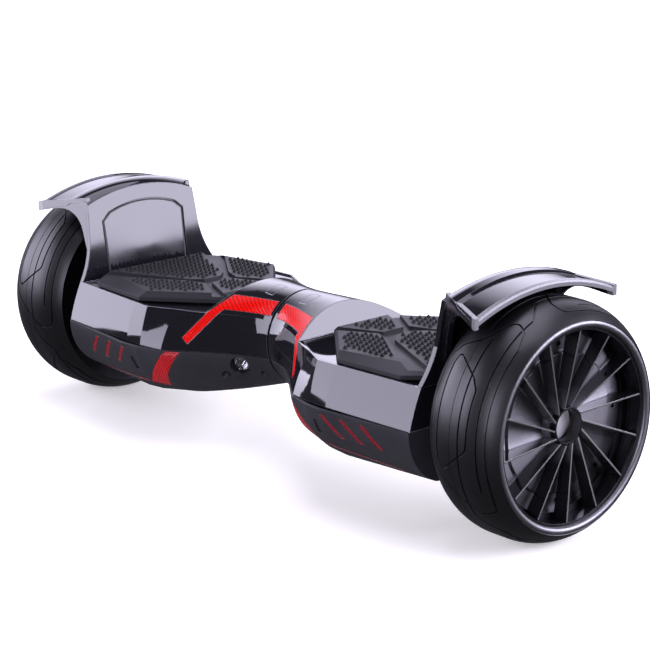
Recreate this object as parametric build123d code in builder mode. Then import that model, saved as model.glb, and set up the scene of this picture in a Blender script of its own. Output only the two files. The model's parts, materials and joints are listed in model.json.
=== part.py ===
from build123d import *
import os
from collections import namedtuple
from math import asin, cos, degrees, radians, sin, tan

# Self-balancing hoverboard: two half bodies joined by a hollow shaft, a hub-motor wheel at each end.
# Millimetres. X runs along the wheel axle, -Y is the front with the light strips, +Z is up, and the
# origin lies on the ground midway between the wheels. The right half (+X) is modelled and the left
# half is its mirror image, apart from the pieces that only one half has.

# ---------------------------------------------------------------- driving dimensions
WHEEL_R = 108.0                      # 8.5 inch tyre
AXLE_Z = WHEEL_R
WHEEL_X = 316.5                      # middle of the tyre
TYRE_HALF = 41.5                     # half of the tyre's width at the rim
BODY_END_X = 254.0                   # outer end of the shells
HALF_GAP = 1.5                       # from the middle plane to a shell's open end
NECK_Z = 117.0                       # height of the twist axis
NECK_R = 46.0
WALL = 3.0                           # moulding thickness
CREASE_Z = 101.0                     # joint between upper and lower shell
DECK_Z = 138.6                       # top of the deck's rim
DECK_FLOOR_Z = 137.0                 # deck surface inside the rim
SLOPE_TOP_X = 57.0                   # crest of the slope between neck and deck
SLOPE_FOOT_X = 70.0
SEAM = 0.3                           # visible joint between neighbouring mouldings

PAD_TRAVEL = 1.5
BUTTON_TRAVEL = 1.5
SHAFT_R = 15.0
RUNNING = 0.05                       # radial clearance of a running fit
AXLE_R = 8.45
AXLE_HOLE_R = 14.0

os.makedirs("parts", exist_ok=True)


def write(part, name):
    """Name a finished piece and write it."""
    part.label = name
    export_step(part, f"parts/{name}.step")


def write_pair(part, name):
    """Write the right-hand piece and its mirror image for the left half."""
    write(mirror(part, about=Plane.YZ), f"left_{name}")
    write(part, f"right_{name}")


# ---------------------------------------------------------------- outline of the body
# One row per cross-section: half-widths at the deck edge and at the crease for the upper shell, and
# at the crease, the belly and the bottom corner for the lower shell, with the heights that change.
Station = namedtuple(
    "Station", "x deck_y side_y crease_y crown_z bulge_y belly_y belly_z corner_y corner_z bottom_z")
NECK_STATIONS = [
    Station(HALF_GAP, 40.9, 45.9, 43.1, 163.0, 43.1, 34.0, 86.0, 23.0, 77.2, 71.0),
    Station(30, 47.0, 52.0, 51.0, 163.5, 52.0, 43.0, 80.0, 30.0, 68.5, 62.5),
    Station(60, 61.0, 67.0, 70.0, 163.0, 71.0, 62.0, 75.0, 45.0, 59.0, 54.0),
    Station(100, 79.0, 91.0, 99.0, 160.0, 101.0, 90.0, 73.0, 66.0, 53.0, 49.0),
]
PANEL_STATIONS = [
    NECK_STATIONS[-1],
    Station(128, 93.0, 99.2, 103.5, 158.0, 109.0, 97.5, 72.0, 76.0, 51.0, 48.0),
    Station(150, 92.0, 98.8, 103.6, 158.0, 110.5, 98.5, 72.0, 77.0, 50.0, 47.5),
    Station(BODY_END_X, 84.6, 92.4, 98.2, 158.0, 99.3, 91.5, 71.5, 66.0, 49.5, 47.5),
]


def upper_profile(s, inset):
    """Closed outline of the upper body at a station, moved inwards by the inset."""
    low = CREASE_Z - inset
    crease, side, deck = s.crease_y - inset, s.side_y - inset, s.deck_y - inset
    with BuildLine() as outline:
        Line((crease, low), (-crease, low))
        ThreePointArc((-crease, low), (-side, (CREASE_Z + DECK_Z) / 2), (-deck, DECK_Z - inset / 2))
        ThreePointArc((-deck, DECK_Z - inset / 2), (0, s.crown_z - inset), (deck, DECK_Z - inset / 2))
        ThreePointArc((deck, DECK_Z - inset / 2), (side, (CREASE_Z + DECK_Z) / 2), (crease, low))
    return outline.wire()


def lower_profile(s, inset):
    """Closed outline of the lower body at a station, moved inwards by the inset."""
    top = CREASE_Z - SEAM + inset
    bulge, belly, corner = s.bulge_y - inset, s.belly_y - inset, s.corner_y - inset / 2
    corner_z, bottom_z = s.corner_z + inset, s.bottom_z + inset
    with BuildLine() as outline:
        Line((-bulge, top), (bulge, top))
        ThreePointArc((bulge, top), (belly, s.belly_z + inset / 3), (corner, corner_z))
        ThreePointArc((corner, corner_z), (0, bottom_z), (-corner, corner_z))
        ThreePointArc((-corner, corner_z), (-belly, s.belly_z + inset / 3), (-bulge, top))
    return outline.wire()


def body_solid(profile, inset):
    """Solid half body: a smooth neck, then flat panels out to the wheel end."""
    with BuildPart() as solid:
        for stations, flat in ((NECK_STATIONS, False), (PANEL_STATIONS, True)):
            for s in stations:
                x = s.x
                if inset and s is NECK_STATIONS[0]:
                    x -= 1.0
                if inset and s is PANEL_STATIONS[-1]:
                    x -= inset
                with BuildSketch(Plane.YZ.offset(x)):
                    add(profile(s, inset))
                    make_face()
            loft(ruled=flat)
    return solid.part


def deck_cut(drop):
    """Everything above the deck and the slope, lowered by the drop."""
    with BuildPart() as cut:
        with BuildSketch(Plane.XZ):
            with BuildLine():
                Polyline((SLOPE_TOP_X - drop * 0.9, 165 + drop), (SLOPE_TOP_X - drop * 0.9, 163),
                         (SLOPE_FOOT_X - drop * 0.9, DECK_Z - drop),
                         (BODY_END_X + 5, DECK_Z - drop), (BODY_END_X + 5, 175),
                         (SLOPE_TOP_X - drop * 0.9, 175), close=True)
            make_face()
        extrude(amount=130, both=True)
    return cut.part


def band(points, reach=130):
    """Prism with the given X-Z outline, right through the body from front to rear."""
    with BuildPart() as prism:
        with BuildSketch(Plane.XZ):
            with BuildLine():
                Polyline(*points, close=True)
            make_face()
        extrude(amount=reach, both=True)
    return prism.part


def shrunk_band(points, gap, reach=130):
    """The same prism, smaller by the gap all round."""
    with BuildPart() as prism:
        with BuildSketch(Plane.XZ):
            with BuildLine():
                Polyline(*points, close=True)
            make_face()
            offset(amount=-gap, kind=Kind.INTERSECTION, mode=Mode.REPLACE)
        extrude(amount=reach, both=True)
    return prism.part


upper_raw = body_solid(upper_profile, 0)
upper_inset = body_solid(upper_profile, 2.0)
upper_core = body_solid(upper_profile, WALL)
lower_raw = body_solid(lower_profile, 0)
lower_inset = body_solid(lower_profile, 1.6)
lower_core = body_solid(lower_profile, WALL)

# ---------------------------------------------------------------- bands let into the shells
# X-Z outlines of the lights and trims; each is projected through the body from front to rear.
LED_BAND = [(5.0, 154.7), (58.5, 153.9), (84.5, 114.0), (79.0, 108.0), (55.5, 142.3), (5.0, 142.7)]
REFLECTOR_BAND = [(83.0, 100.4), (95.5, 100.4), (130.0, 60.5), (110.0, 58.5)]
TRIM_BAND = [(133.0, 62.3), (133.0, 59.8), (228.0, 53.5), (228.0, 56.0)]
SLASH_TOP, SLASH_BOTTOM = 96.0, 75.0
SLASH_LEAN = 19.0                    # how far a slash's foot lies outboard of its top
SLASH_WIDTH = 6.5
SLASH_PITCH = 24.3
SLASH_COUNT = 3
SLASH_FIRST_X = 146.5
SLOT_BAND = [(136.0, 88.0), (141.0, 88.0), (140.0, 74.0), (135.0, 74.0)]
BAND_GAP = 0.25


def slash_band(i):
    x = SLASH_FIRST_X + i * SLASH_PITCH
    return [(x, SLASH_TOP), (x + SLASH_WIDTH, SLASH_TOP), (x + SLASH_WIDTH + SLASH_LEAN, SLASH_BOTTOM),
            (x + SLASH_LEAN, SLASH_BOTTOM)]


slash_bands = [slash_band(i) for i in range(SLASH_COUNT)]
deck_removed = deck_cut(0)


def inlay(points, raw, inset, gap):
    """Skin of the body inside a band: the pocket when the gap is 0, or the lens that sits in it."""
    prism = shrunk_band(points, gap) if gap else band(points)
    skin = (prism & raw) - inset
    return skin - deck_removed


# ---------------------------------------------------------------- foot pad outline
PAD_BASE = [(75.0, 27.0), (149.0, 87.5), (226.0, 83.0), (243.0, 64.0)]
PAD_TOP = [(85.0, 31.5), (144.0, 81.0), (209.0, 67.5), (236.0, 58.0)]
PAD_REST_Z = DECK_FLOOR_Z + PAD_TRAVEL + 0.4
PAD_SIDE_Z = PAD_REST_Z + 4.0        # upright part of the pad's side
PAD_TOP_Z = 149.0
PAD_GROOVE_Z = 145.4
PLUNGER_R = 5.0
PLUNGER_X = (110.0, 210.0)
PLUNGER_Y = 42.0


def both_sides(points):
    """Front and rear halves of an outline that is symmetric about the middle plane."""
    return [(x, -y) for x, y in points] + [(x, y) for x, y in reversed(points)]


# ---------------------------------------------------------------- upper shell
WINDOW_PLACE = (25.0, -13.5)         # middle of the window on top of the neck
WINDOW_LENGTH, WINDOW_WIDTH, WINDOW_CORNER = 12.0, 19.0, 1.5
SKIRT_SCREWS = [(-40.0, 129.0), (40.0, 129.0)]      # fender screws in the end wall
SKIRT_SCREW_R = 2.2
PLUNGER_GAP = 1.2

with BuildPart() as upper_shell:
    add(upper_raw)
    add(deck_removed, mode=Mode.SUBTRACT)
    add(upper_core - deck_cut(DECK_Z - DECK_FLOOR_Z + WALL), mode=Mode.SUBTRACT)
    # deck floor inside a thin rim along the front and rear edges
    with BuildSketch(Plane.XY.offset(DECK_FLOOR_Z)):
        with BuildLine():
            Polyline(*both_sides([(SLOPE_FOOT_X + 0.8, 61.5), (100, 77.4), (128, 90.6), (150, 89.6),
                                  (249.4, 82.6)]), close=True)
        make_face()
    extrude(amount=10, mode=Mode.SUBTRACT)
    # pockets for the light strip, its end left clear of the neck's opening
    add(inlay(LED_BAND, upper_raw, upper_inset, 0), mode=Mode.SUBTRACT)
    # holes for the pad's plungers
    with BuildSketch(Plane.XY.offset(DECK_FLOOR_Z + 1)):
        for px in PLUNGER_X:
            with Locations((px, -PLUNGER_Y), (px, PLUNGER_Y)):
                Circle(PLUNGER_R + PLUNGER_GAP)
    extrude(amount=-8, mode=Mode.SUBTRACT)
    # axle hole and the fender's screw holes in the end wall
    with BuildSketch(Plane.YZ.offset(BODY_END_X - 6)):
        with Locations((0, AXLE_Z)):
            Circle(AXLE_HOLE_R)
        with Locations(*SKIRT_SCREWS):
            Circle(SKIRT_SCREW_R)
    extrude(amount=8, mode=Mode.SUBTRACT)
    # window on top of the neck
    with BuildSketch(Plane.XY.offset(150)):
        with Locations(WINDOW_PLACE):
            RectangleRounded(WINDOW_LENGTH, WINDOW_WIDTH, WINDOW_CORNER)
    extrude(amount=20, mode=Mode.SUBTRACT)

# ---------------------------------------------------------------- lower shell
SCREW_R, SCREW_HEAD_R = 2.0, 3.4
NECK_SCREWS = [(51.2, 57.2, 77.7), (16.3, 37.9, 81.4)]
TRAY_SCREWS = [(112.0, 44.0), (226.0, 44.0)]
TRAY_SCREW_Z = 52.2                  # where the heads under the tray sit
BOSS_R, BOSS_DEPTH, SCREW_SINK = 5.6, 11.0, 5.0
HEX_KEY_R = 1.6
HEAD_CLEARANCE = 0.6


def neck_screw_plane(x, y, z):
    """Plane through a point of the neck's underside, facing out along the screw's axis."""
    return Plane(origin=(x, y, z), x_dir=(1, 0, 0), z_dir=(0, 0.6 if y > 0 else -0.6, -0.8))


with BuildPart() as lower_shell:
    add(lower_raw)
    add(lower_core, mode=Mode.SUBTRACT)
    for points in [REFLECTOR_BAND, TRIM_BAND, SLOT_BAND] + slash_bands:
        add(inlay(points, lower_raw, lower_inset, 0), mode=Mode.SUBTRACT)
    with BuildSketch(Plane.YZ.offset(BODY_END_X - 6)):
        with Locations((0, AXLE_Z)):
            Circle(AXLE_HOLE_R)
    extrude(amount=8, mode=Mode.SUBTRACT)
    # recessed bosses under the neck
    for y_sign in (-1, 1):
        for x, y, z in NECK_SCREWS:
            seat = neck_screw_plane(x, y * y_sign, z)
            with BuildSketch(seat.offset(-BOSS_DEPTH)):
                Circle(BOSS_R)
            extrude(amount=BOSS_DEPTH + 6)
    add(lower_raw, mode=Mode.INTERSECT)
    for y_sign in (-1, 1):
        for x, y, z in NECK_SCREWS:
            seat = neck_screw_plane(x, y * y_sign, z)
            with BuildSketch(seat.offset(-SCREW_SINK)):
                Circle(SCREW_HEAD_R + HEAD_CLEARANCE)
            extrude(amount=20, mode=Mode.SUBTRACT)
            with BuildSketch(seat.offset(-BOSS_DEPTH - 1)):
                Circle(SCREW_R + 0.1)
            extrude(amount=BOSS_DEPTH, mode=Mode.SUBTRACT)
    # counterbored holes under the tray
    with BuildSketch(Plane.XY.offset(TRAY_SCREW_Z)):
        for x, y in TRAY_SCREWS:
            with Locations((x, y), (x, -y)):
                Circle(SCREW_HEAD_R + HEAD_CLEARANCE)
    extrude(amount=-10, mode=Mode.SUBTRACT)
    with BuildSketch(Plane.XY.offset(TRAY_SCREW_Z)):
        for x, y in TRAY_SCREWS:
            with Locations((x, y), (x, -y)):
                Circle(SCREW_R + 0.3)
    extrude(amount=6, mode=Mode.SUBTRACT)
write_pair(upper_shell.part, "upper_shell")
write(lower_shell.part, "right_lower_shell")

# the left shell also carries the charge port in front and the power button at the rear; the three
# pieces are built on the right-hand side like the rest and mirrored as they are written
PORT_POINT = (35.8, -51.8, 89.1)
PORT_FACING = (-0.40, -0.84, -0.37)
BUTTON_POINT = (35.8, 51.8, 89.1)
BUTTON_FACING = (-0.40, 0.84, -0.37)
PORT_R, PORT_DEPTH, PORT_FLOOR = 10.0, 8.0, 3.0
SOCKET_R = 8.0
BUTTON_R = 8.0
BUTTON_GAP = 0.35
BUTTON_COLLAR = 5.0
BUTTON_FLANGE, BUTTON_STEM_R = 2.4, 3.0
SOCKET_LENGTH, SOCKET_LIP, SOCKET_NUT = 14.5, 1.6, 3.0
PIN_CIRCLE_R, PIN_R, PIN_LENGTH = 3.4, 1.0, 7.0
port_plane = Plane(origin=PORT_POINT, z_dir=PORT_FACING)
button_plane = Plane(origin=BUTTON_POINT, z_dir=BUTTON_FACING)
with BuildPart() as collars:
    with BuildSketch(port_plane.offset(-PORT_DEPTH - PORT_FLOOR)):
        Circle(PORT_R + 2.5)
    extrude(amount=PORT_DEPTH + PORT_FLOOR + 8)
    with BuildSketch(button_plane.offset(-BUTTON_COLLAR)):
        Circle(BUTTON_R + 3.5)
    extrude(amount=BUTTON_COLLAR + 8)
    add(lower_raw, mode=Mode.INTERSECT)
with BuildPart() as left_lower_shell:
    add(lower_shell.part)
    add(collars.part)
    with BuildSketch(port_plane.offset(-PORT_DEPTH)):
        Circle(PORT_R)
    extrude(amount=PORT_DEPTH + 12, mode=Mode.SUBTRACT)
    with BuildSketch(port_plane.offset(-PORT_DEPTH - PORT_FLOOR - 1)):
        Circle(SOCKET_R + 0.1)
    extrude(amount=PORT_FLOOR + 2, mode=Mode.SUBTRACT)
    with BuildSketch(button_plane.offset(-BUTTON_COLLAR - 1)):
        Circle(BUTTON_R + BUTTON_GAP)
    extrude(amount=BUTTON_COLLAR + 12, mode=Mode.SUBTRACT)
write(mirror(left_lower_shell.part, about=Plane.YZ), "left_lower_shell")

with BuildPart() as charge_socket:
    with BuildSketch(port_plane.offset(-PORT_DEPTH - 10)):
        Circle(SOCKET_R)
    extrude(amount=SOCKET_LENGTH)
    with BuildSketch(port_plane.offset(-PORT_DEPTH)):
        Circle(SOCKET_R + SOCKET_LIP)
    extrude(amount=1.4)
    with BuildSketch(port_plane.offset(-PORT_DEPTH - PORT_FLOOR - 2.2)):
        RegularPolygon(SOCKET_R + SOCKET_NUT, 6)
    extrude(amount=2.1)
    with BuildSketch(port_plane.offset(-PORT_DEPTH - 4)):
        Circle(SOCKET_R - 1.4)
    extrude(amount=12, mode=Mode.SUBTRACT)
    with BuildSketch(port_plane.offset(-PORT_DEPTH - 4)):
        with PolarLocations(PIN_CIRCLE_R, 3):
            Circle(PIN_R)
    extrude(amount=PIN_LENGTH)
write(mirror(charge_socket.part, about=Plane.YZ), "charge_socket")

with BuildPart() as power_button:
    with BuildSketch(button_plane.offset(-BUTTON_COLLAR - 0.4)):
        Circle(BUTTON_R)
    extrude(amount=BUTTON_COLLAR + 2.2)
    chamfer(power_button.faces().sort_by(Axis(BUTTON_POINT, BUTTON_FACING))[-1].edges(), 0.7)
    with BuildSketch(button_plane.offset(-BUTTON_COLLAR - 2.0)):
        Circle(BUTTON_R + BUTTON_FLANGE)
    extrude(amount=1.6)
    with BuildSketch(button_plane.offset(-BUTTON_COLLAR - 7.0)):
        Circle(BUTTON_STEM_R)
    extrude(amount=5.0)
write(mirror(power_button.part, about=Plane.YZ), "power_button")

with BuildPart() as shell_screws:
    for y_sign in (-1, 1):
        for x, y, z in NECK_SCREWS:
            seat = neck_screw_plane(x, y * y_sign, z)
            with BuildSketch(seat.offset(-SCREW_SINK)):
                Circle(SCREW_HEAD_R)
                RegularPolygon(HEX_KEY_R, 6, mode=Mode.SUBTRACT)
            extrude(amount=2.0)
            with BuildSketch(seat.offset(-BOSS_DEPTH)):
                Circle(SCREW_R)
            extrude(amount=BOSS_DEPTH - SCREW_SINK + 0.2)
        for x, y in TRAY_SCREWS:
            with BuildSketch(Plane.XY.offset(TRAY_SCREW_Z)):
                with Locations((x, y * y_sign)):
                    Circle(SCREW_HEAD_R)
                    RegularPolygon(HEX_KEY_R, 6, mode=Mode.SUBTRACT)
            extrude(amount=-1.8)
            with BuildSketch(Plane.XY.offset(TRAY_SCREW_Z - 0.2)):
                with Locations((x, y * y_sign)):
                    Circle(SCREW_R)
            extrude(amount=9.0)
write_pair(shell_screws.part, "shell_screws")

# ---------------------------------------------------------------- lights and trims
with BuildPart() as led_strips:
    add(inlay(LED_BAND, upper_raw, upper_inset, BAND_GAP))
write_pair(led_strips.part, "led_strips")

with BuildPart() as lower_reflectors:
    add(inlay(REFLECTOR_BAND, lower_raw, lower_inset, BAND_GAP))
write_pair(lower_reflectors.part, "lower_reflectors")

with BuildPart() as slash_reflectors:
    for points in slash_bands:
        add(inlay(points, lower_raw, lower_inset, BAND_GAP))
write_pair(slash_reflectors.part, "slash_reflectors")

with BuildPart() as edge_trims:
    add(inlay(TRIM_BAND, lower_raw, lower_inset, BAND_GAP))
write_pair(edge_trims.part, "edge_trims")

with BuildPart() as neck_window:
    with BuildSketch(Plane.XY.offset(150)):
        with Locations(WINDOW_PLACE):
            RectangleRounded(WINDOW_LENGTH - 2 * BAND_GAP, WINDOW_WIDTH - 2 * BAND_GAP,
                             WINDOW_CORNER - 0.2)
    extrude(amount=20)
    add(upper_raw, mode=Mode.INTERSECT)
    add(upper_inset, mode=Mode.SUBTRACT)
write_pair(neck_window.part, "neck_window")

# ---------------------------------------------------------------- fender with its wall
FENDER_ARC_Z = 19.5                  # height of the axis that the mudguard is swung about
FENDER_OUT_X = 321.0
FENDER_IN_X = 262.5
FENDER_SWING = 26.0
END_IN_Y, END_OUT_Y = 65.0, 87.5     # mudguard's ends, at the wall and at the outer tip
FLANGE = 5.0                         # thickness of the plates that close its ends
WALL_PLATE = 5.0
SKIRT_Z, SKIRT_WIDTH, SKIRT_HEIGHT = 138.0, 112.0, 26.0
WALL_FOOT_X, WALL_TOP_X, WALL_TOP_Z = 249.5, 263.2, 231.0     # the wall leans outwards
PANEL_GROOVE = 1.1
PANEL_DEPTH = 2.0
ARCH_HALF, ARCH_LOW_Z, ARCH_SHOULDER_Z, ARCH_CROWN_Z = 51.0, 140.0, 196.0, 211.0


def leaning_slab(inner, outer):
    """Slab that follows the wall's lean, between two depths behind its inner face."""
    with BuildPart() as slab:
        with BuildSketch(Plane.XZ):
            with BuildLine():
                Polyline((WALL_FOOT_X + inner, DECK_Z), (WALL_FOOT_X + outer, DECK_Z),
                         (WALL_TOP_X + outer, WALL_TOP_Z), (WALL_TOP_X + inner, WALL_TOP_Z), close=True)
            make_face()
        extrude(amount=110, both=True)
    return slab.part


def arch_prism(grow):
    """Arched outline of the wall's inner panel, grown all round."""
    half = ARCH_HALF + grow
    with BuildPart() as prism:
        with BuildSketch(Plane.YZ.offset(240)):
            with BuildLine():
                Polyline((-half, ARCH_SHOULDER_Z), (-half + 1.5, ARCH_LOW_Z - grow),
                         (half - 1.5, ARCH_LOW_Z - grow), (half, ARCH_SHOULDER_Z),
                         (half - 9, ARCH_SHOULDER_Z + 7.5 + grow / 2))
                ThreePointArc((half - 9, ARCH_SHOULDER_Z + 7.5 + grow / 2), (0, ARCH_CROWN_Z + grow),
                              (-half + 9, ARCH_SHOULDER_Z + 7.5 + grow / 2))
                Line((-half + 9, ARCH_SHOULDER_Z + 7.5 + grow / 2), (-half, ARCH_SHOULDER_Z))
            make_face()
        extrude(amount=40)
    return prism.part


with BuildPart() as wall_plate:
    # wide foot, narrow waist and a low crown as seen from the deck
    add(leaning_slab(0, WALL_PLATE))
    with BuildSketch(Plane.YZ.offset(240)):
        with BuildLine():
            Line((-84.5, DECK_Z), (84.5, DECK_Z))
            ThreePointArc((84.5, DECK_Z), (73.0, 163.0), (69.0, 190.0))
            Line((69.0, 190.0), (67.0, 214.5))
            ThreePointArc((67.0, 214.5), (0, 227.0), (-67.0, 214.5))
            Line((-67.0, 214.5), (-69.0, 190.0))
            ThreePointArc((-69.0, 190.0), (-73.0, 163.0), (-84.5, DECK_Z))
        make_face()
    extrude(amount=40, mode=Mode.INTERSECT)

with BuildPart() as mudguard:
    # crown section: inner crest, step, recessed band, outer lip
    with BuildSketch(Plane.XZ):
        with BuildLine():
            Polyline((FENDER_IN_X + 2, 222.5), (FENDER_IN_X, 225.5))
            ThreePointArc((FENDER_IN_X, 225.5), (270.5, 231.0), (280.0, 232.0))
            Polyline((280.0, 232.0), (285.5, 231.4), (288.5, 229.0), (314.5, 228.0), (316.5, 229.4),
                     (320.0, 228.8), (FENDER_OUT_X, 227.0), (FENDER_OUT_X, 223.6), (318.5, 223.6),
                     (316.5, 224.8), (288.0, 225.6), (283.0, 228.0), (272.0, 227.6),
                     (FENDER_IN_X + 2, 222.5))
        make_face()
    revolve(axis=Axis((0, 0, FENDER_ARC_Z), (1, 0, 0)), revolution_arc=FENDER_SWING)
    mirror(about=Plane.XZ)
    with BuildSketch(Plane.XY.offset(150)):
        with BuildLine():
            Polyline(*both_sides([(FENDER_IN_X - 5, END_IN_Y - 1), (FENDER_OUT_X, END_OUT_Y)]), close=True)
        make_face()
    extrude(amount=100, mode=Mode.INTERSECT)

with BuildPart() as end_flange:
    # end plate as seen from the front, its lower edge an arch over the tyre's shoulder
    with BuildSketch(Plane.XZ):
        with BuildLine():
            Polyline((256.0, 160.0), (265.0, 221.5), (FENDER_OUT_X, 213.0), (FENDER_OUT_X, 203.0))
            Spline((FENDER_OUT_X, 203.0), (303.0, 207.0), (288.0, 207.6), (276.0, 200.0),
                   (269.5, 184.0), (263.5, 160.0))
            Line((263.5, 160.0), (256.0, 160.0))
        make_face()
    extrude(amount=130)
    with BuildSketch(Plane.XY.offset(150)):
        with BuildLine():
            Polyline((256, -END_IN_Y + 2), (FENDER_OUT_X, -END_OUT_Y), (FENDER_OUT_X, -END_OUT_Y + FLANGE),
                     (256, -END_IN_Y + 2 + FLANGE), close=True)
        make_face()
    extrude(amount=100, mode=Mode.INTERSECT)

with BuildPart() as fender:
    add(wall_plate)
    add(mudguard)
    add(end_flange)
    add(mirror(end_flange.part, about=Plane.XZ))
    # skirt that bolts to the shell's end wall
    with BuildSketch(Plane.YZ.offset(BODY_END_X + 0.2)):
        with Locations((0, SKIRT_Z)):
            Rectangle(SKIRT_WIDTH, SKIRT_HEIGHT)
        with Locations(*SKIRT_SCREWS):
            Circle(SKIRT_SCREW_R, mode=Mode.SUBTRACT)
    extrude(amount=3)
    # pocket for the arched panel
    add(arch_prism(PANEL_GROOVE) & leaning_slab(-1, PANEL_DEPTH), mode=Mode.SUBTRACT)
write_pair(fender.part, "fender")

with BuildPart() as arch_panel:
    add(arch_prism(0) & leaning_slab(0.2, PANEL_DEPTH))
write_pair(arch_panel.part, "arch_panel")

# ---------------------------------------------------------------- foot pad
with BuildPart() as foot_pad:
    with BuildSketch(Plane.XY.offset(PAD_REST_Z)):
        with BuildLine():
            Polyline(*both_sides(PAD_BASE), close=True)
        make_face()
    extrude(amount=PAD_SIDE_Z - PAD_REST_Z)
    for outline, z in ((PAD_BASE, PAD_SIDE_Z), (PAD_TOP, PAD_TOP_Z)):
        with BuildSketch(Plane.XY.offset(z)):
            with BuildLine():
                Polyline(*both_sides(outline), close=True)
            make_face()
    loft(ruled=True)
    # grooves between the inner, front, rear and outer blocks: a Y on each side of the middle plane
    with BuildSketch(Plane.XY.offset(PAD_TOP_Z)):
        for side in (-1, 1):
            with BuildLine():
                Polyline((68, side * 24.0), (84, side * 32.0), (127, side * 13.0), (127, -side * 1.0),
                         (143, -side * 1.0), (143, side * 10.0), (153, side * 22.0), (228, side * 56.5),
                         (256, side * 69.0), (256, side * 84.0), (208, side * 67.0), (151, side * 27.0),
                         (128, side * 19.0), (91, side * 41.0), (68, side * 33.0), close=True)
            make_face()
    extrude(amount=PAD_TOP_Z - PAD_GROOVE_Z, both=True, mode=Mode.SUBTRACT)
    # plungers that reach through the deck
    with BuildSketch(Plane.XY.offset(PAD_REST_Z + 1)):
        for px in PLUNGER_X:
            with Locations((px, -PLUNGER_Y), (px, PLUNGER_Y)):
                Circle(PLUNGER_R)
    extrude(amount=-10)
write_pair(foot_pad.part, "foot_pad")

# ---------------------------------------------------------------- wheel
TYRE_SHOULDER = 45.8                 # radius of the tyre's rounded shoulders
RIM_OUT_R = 94.0                     # where the tyre meets the rim ring
RIM_IN_R = 87.6
TYRE_SEAT_R = 84.0
BEAD_R = 92.0                        # seat of the outer bead, around the wheel cover
WHEEL_OUT_X = WHEEL_X + TYRE_HALF    # outer face of the rim ring
WHEEL_IN_X = WHEEL_X - TYRE_HALF
CROWN_FLAT = TYRE_HALF + 12.5 - TYRE_SHOULDER     # half-width of the tread's flat crown
MAGNET_R = 73.5
MAGNET_THICK = 3.5
COVER_SCREW_CIRCLE_R, COVER_SCREW_COUNT, COVER_SCREW_R = 70.5, 8, 2.0
AIR_GAP = 1.0
BEARING_R = 17.5
BLADE_COUNT = 14
BLADE_LEAN = 8.0                     # a blade's front edge is tangent to a circle of this radius
BLADE_THICK = 1.5
BLADE_FIRST = 8.4                    # direction of the first blade's outer end, degrees from +Y
HUB_R = 15.0                         # bore of the hub tube
HUB_FACE_X = 348.0
AXLE_AXIS = Axis((0, 0, AXLE_Z), (1, 0, 0))


def ring_section(points):
    """Closed outline in the X-Z plane above the axle, from (x, radius) corners."""
    Polyline(*[(x, AXLE_Z + r) for x, r in points], close=True)


with BuildPart() as tyre:
    with BuildSketch(Plane.XZ):
        shoulder_z = AXLE_Z + WHEEL_R - TYRE_SHOULDER
        reach = (TYRE_SHOULDER ** 2 - (RIM_OUT_R - WHEEL_R + TYRE_SHOULDER) ** 2) ** 0.5
        lip = CROWN_FLAT + reach
        knee = TYRE_SHOULDER * sin(radians(30))
        knee_z = shoulder_z + TYRE_SHOULDER * cos(radians(30))
        with BuildLine():
            Line((WHEEL_X - CROWN_FLAT, AXLE_Z + WHEEL_R), (WHEEL_X + CROWN_FLAT, AXLE_Z + WHEEL_R))
            ThreePointArc((WHEEL_X + CROWN_FLAT, AXLE_Z + WHEEL_R), (WHEEL_X + CROWN_FLAT + knee, knee_z),
                          (WHEEL_X + lip, AXLE_Z + RIM_OUT_R))
            Polyline((WHEEL_X + lip, AXLE_Z + RIM_OUT_R), (WHEEL_X + 33, AXLE_Z + RIM_OUT_R),
                     (WHEEL_X + 33, AXLE_Z + BEAD_R), (WHEEL_X + 18, AXLE_Z + BEAD_R),
                     (WHEEL_X + 18, AXLE_Z + TYRE_SEAT_R), (WHEEL_X - 33, AXLE_Z + TYRE_SEAT_R),
                     (WHEEL_X - 33, AXLE_Z + RIM_OUT_R), (WHEEL_X - lip, AXLE_Z + RIM_OUT_R))
            ThreePointArc((WHEEL_X - lip, AXLE_Z + RIM_OUT_R), (WHEEL_X - CROWN_FLAT - knee, knee_z),
                          (WHEEL_X - CROWN_FLAT, AXLE_Z + WHEEL_R))
        make_face()
    revolve(axis=AXLE_AXIS)
write_pair(tyre.part, "tyre")

with BuildPart() as motor_shell:
    with BuildSketch(Plane.XZ):
        with BuildLine():
            ring_section([(WHEEL_IN_X + 4, RIM_OUT_R), (WHEEL_IN_X + 4, BEARING_R + 3.5),
                          (WHEEL_IN_X + 4, BEARING_R - 4), (WHEEL_IN_X + 6.5, BEARING_R - 4),
                          (WHEEL_IN_X + 6.5, BEARING_R), (WHEEL_IN_X + 17, BEARING_R),
                          (WHEEL_IN_X + 17, BEARING_R + 3.5), (WHEEL_IN_X + 8.5, BEARING_R + 3.5),
                          (WHEEL_IN_X + 8.5, MAGNET_R), (WHEEL_X + 14, MAGNET_R), (WHEEL_X + 14, 79.0),
                          (WHEEL_X + 21.5, 79.0), (WHEEL_X + 21.5, RIM_IN_R + 0.6),
                          (WHEEL_X + 33, RIM_IN_R + 0.6), (WHEEL_X + 33, BEAD_R), (WHEEL_X + 18, BEAD_R),
                          (WHEEL_X + 18, TYRE_SEAT_R), (WHEEL_X - 33, TYRE_SEAT_R),
                          (WHEEL_X - 33, RIM_OUT_R)])
        make_face()
    revolve(axis=AXLE_AXIS)
write_pair(motor_shell.part, "motor_shell")

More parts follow.
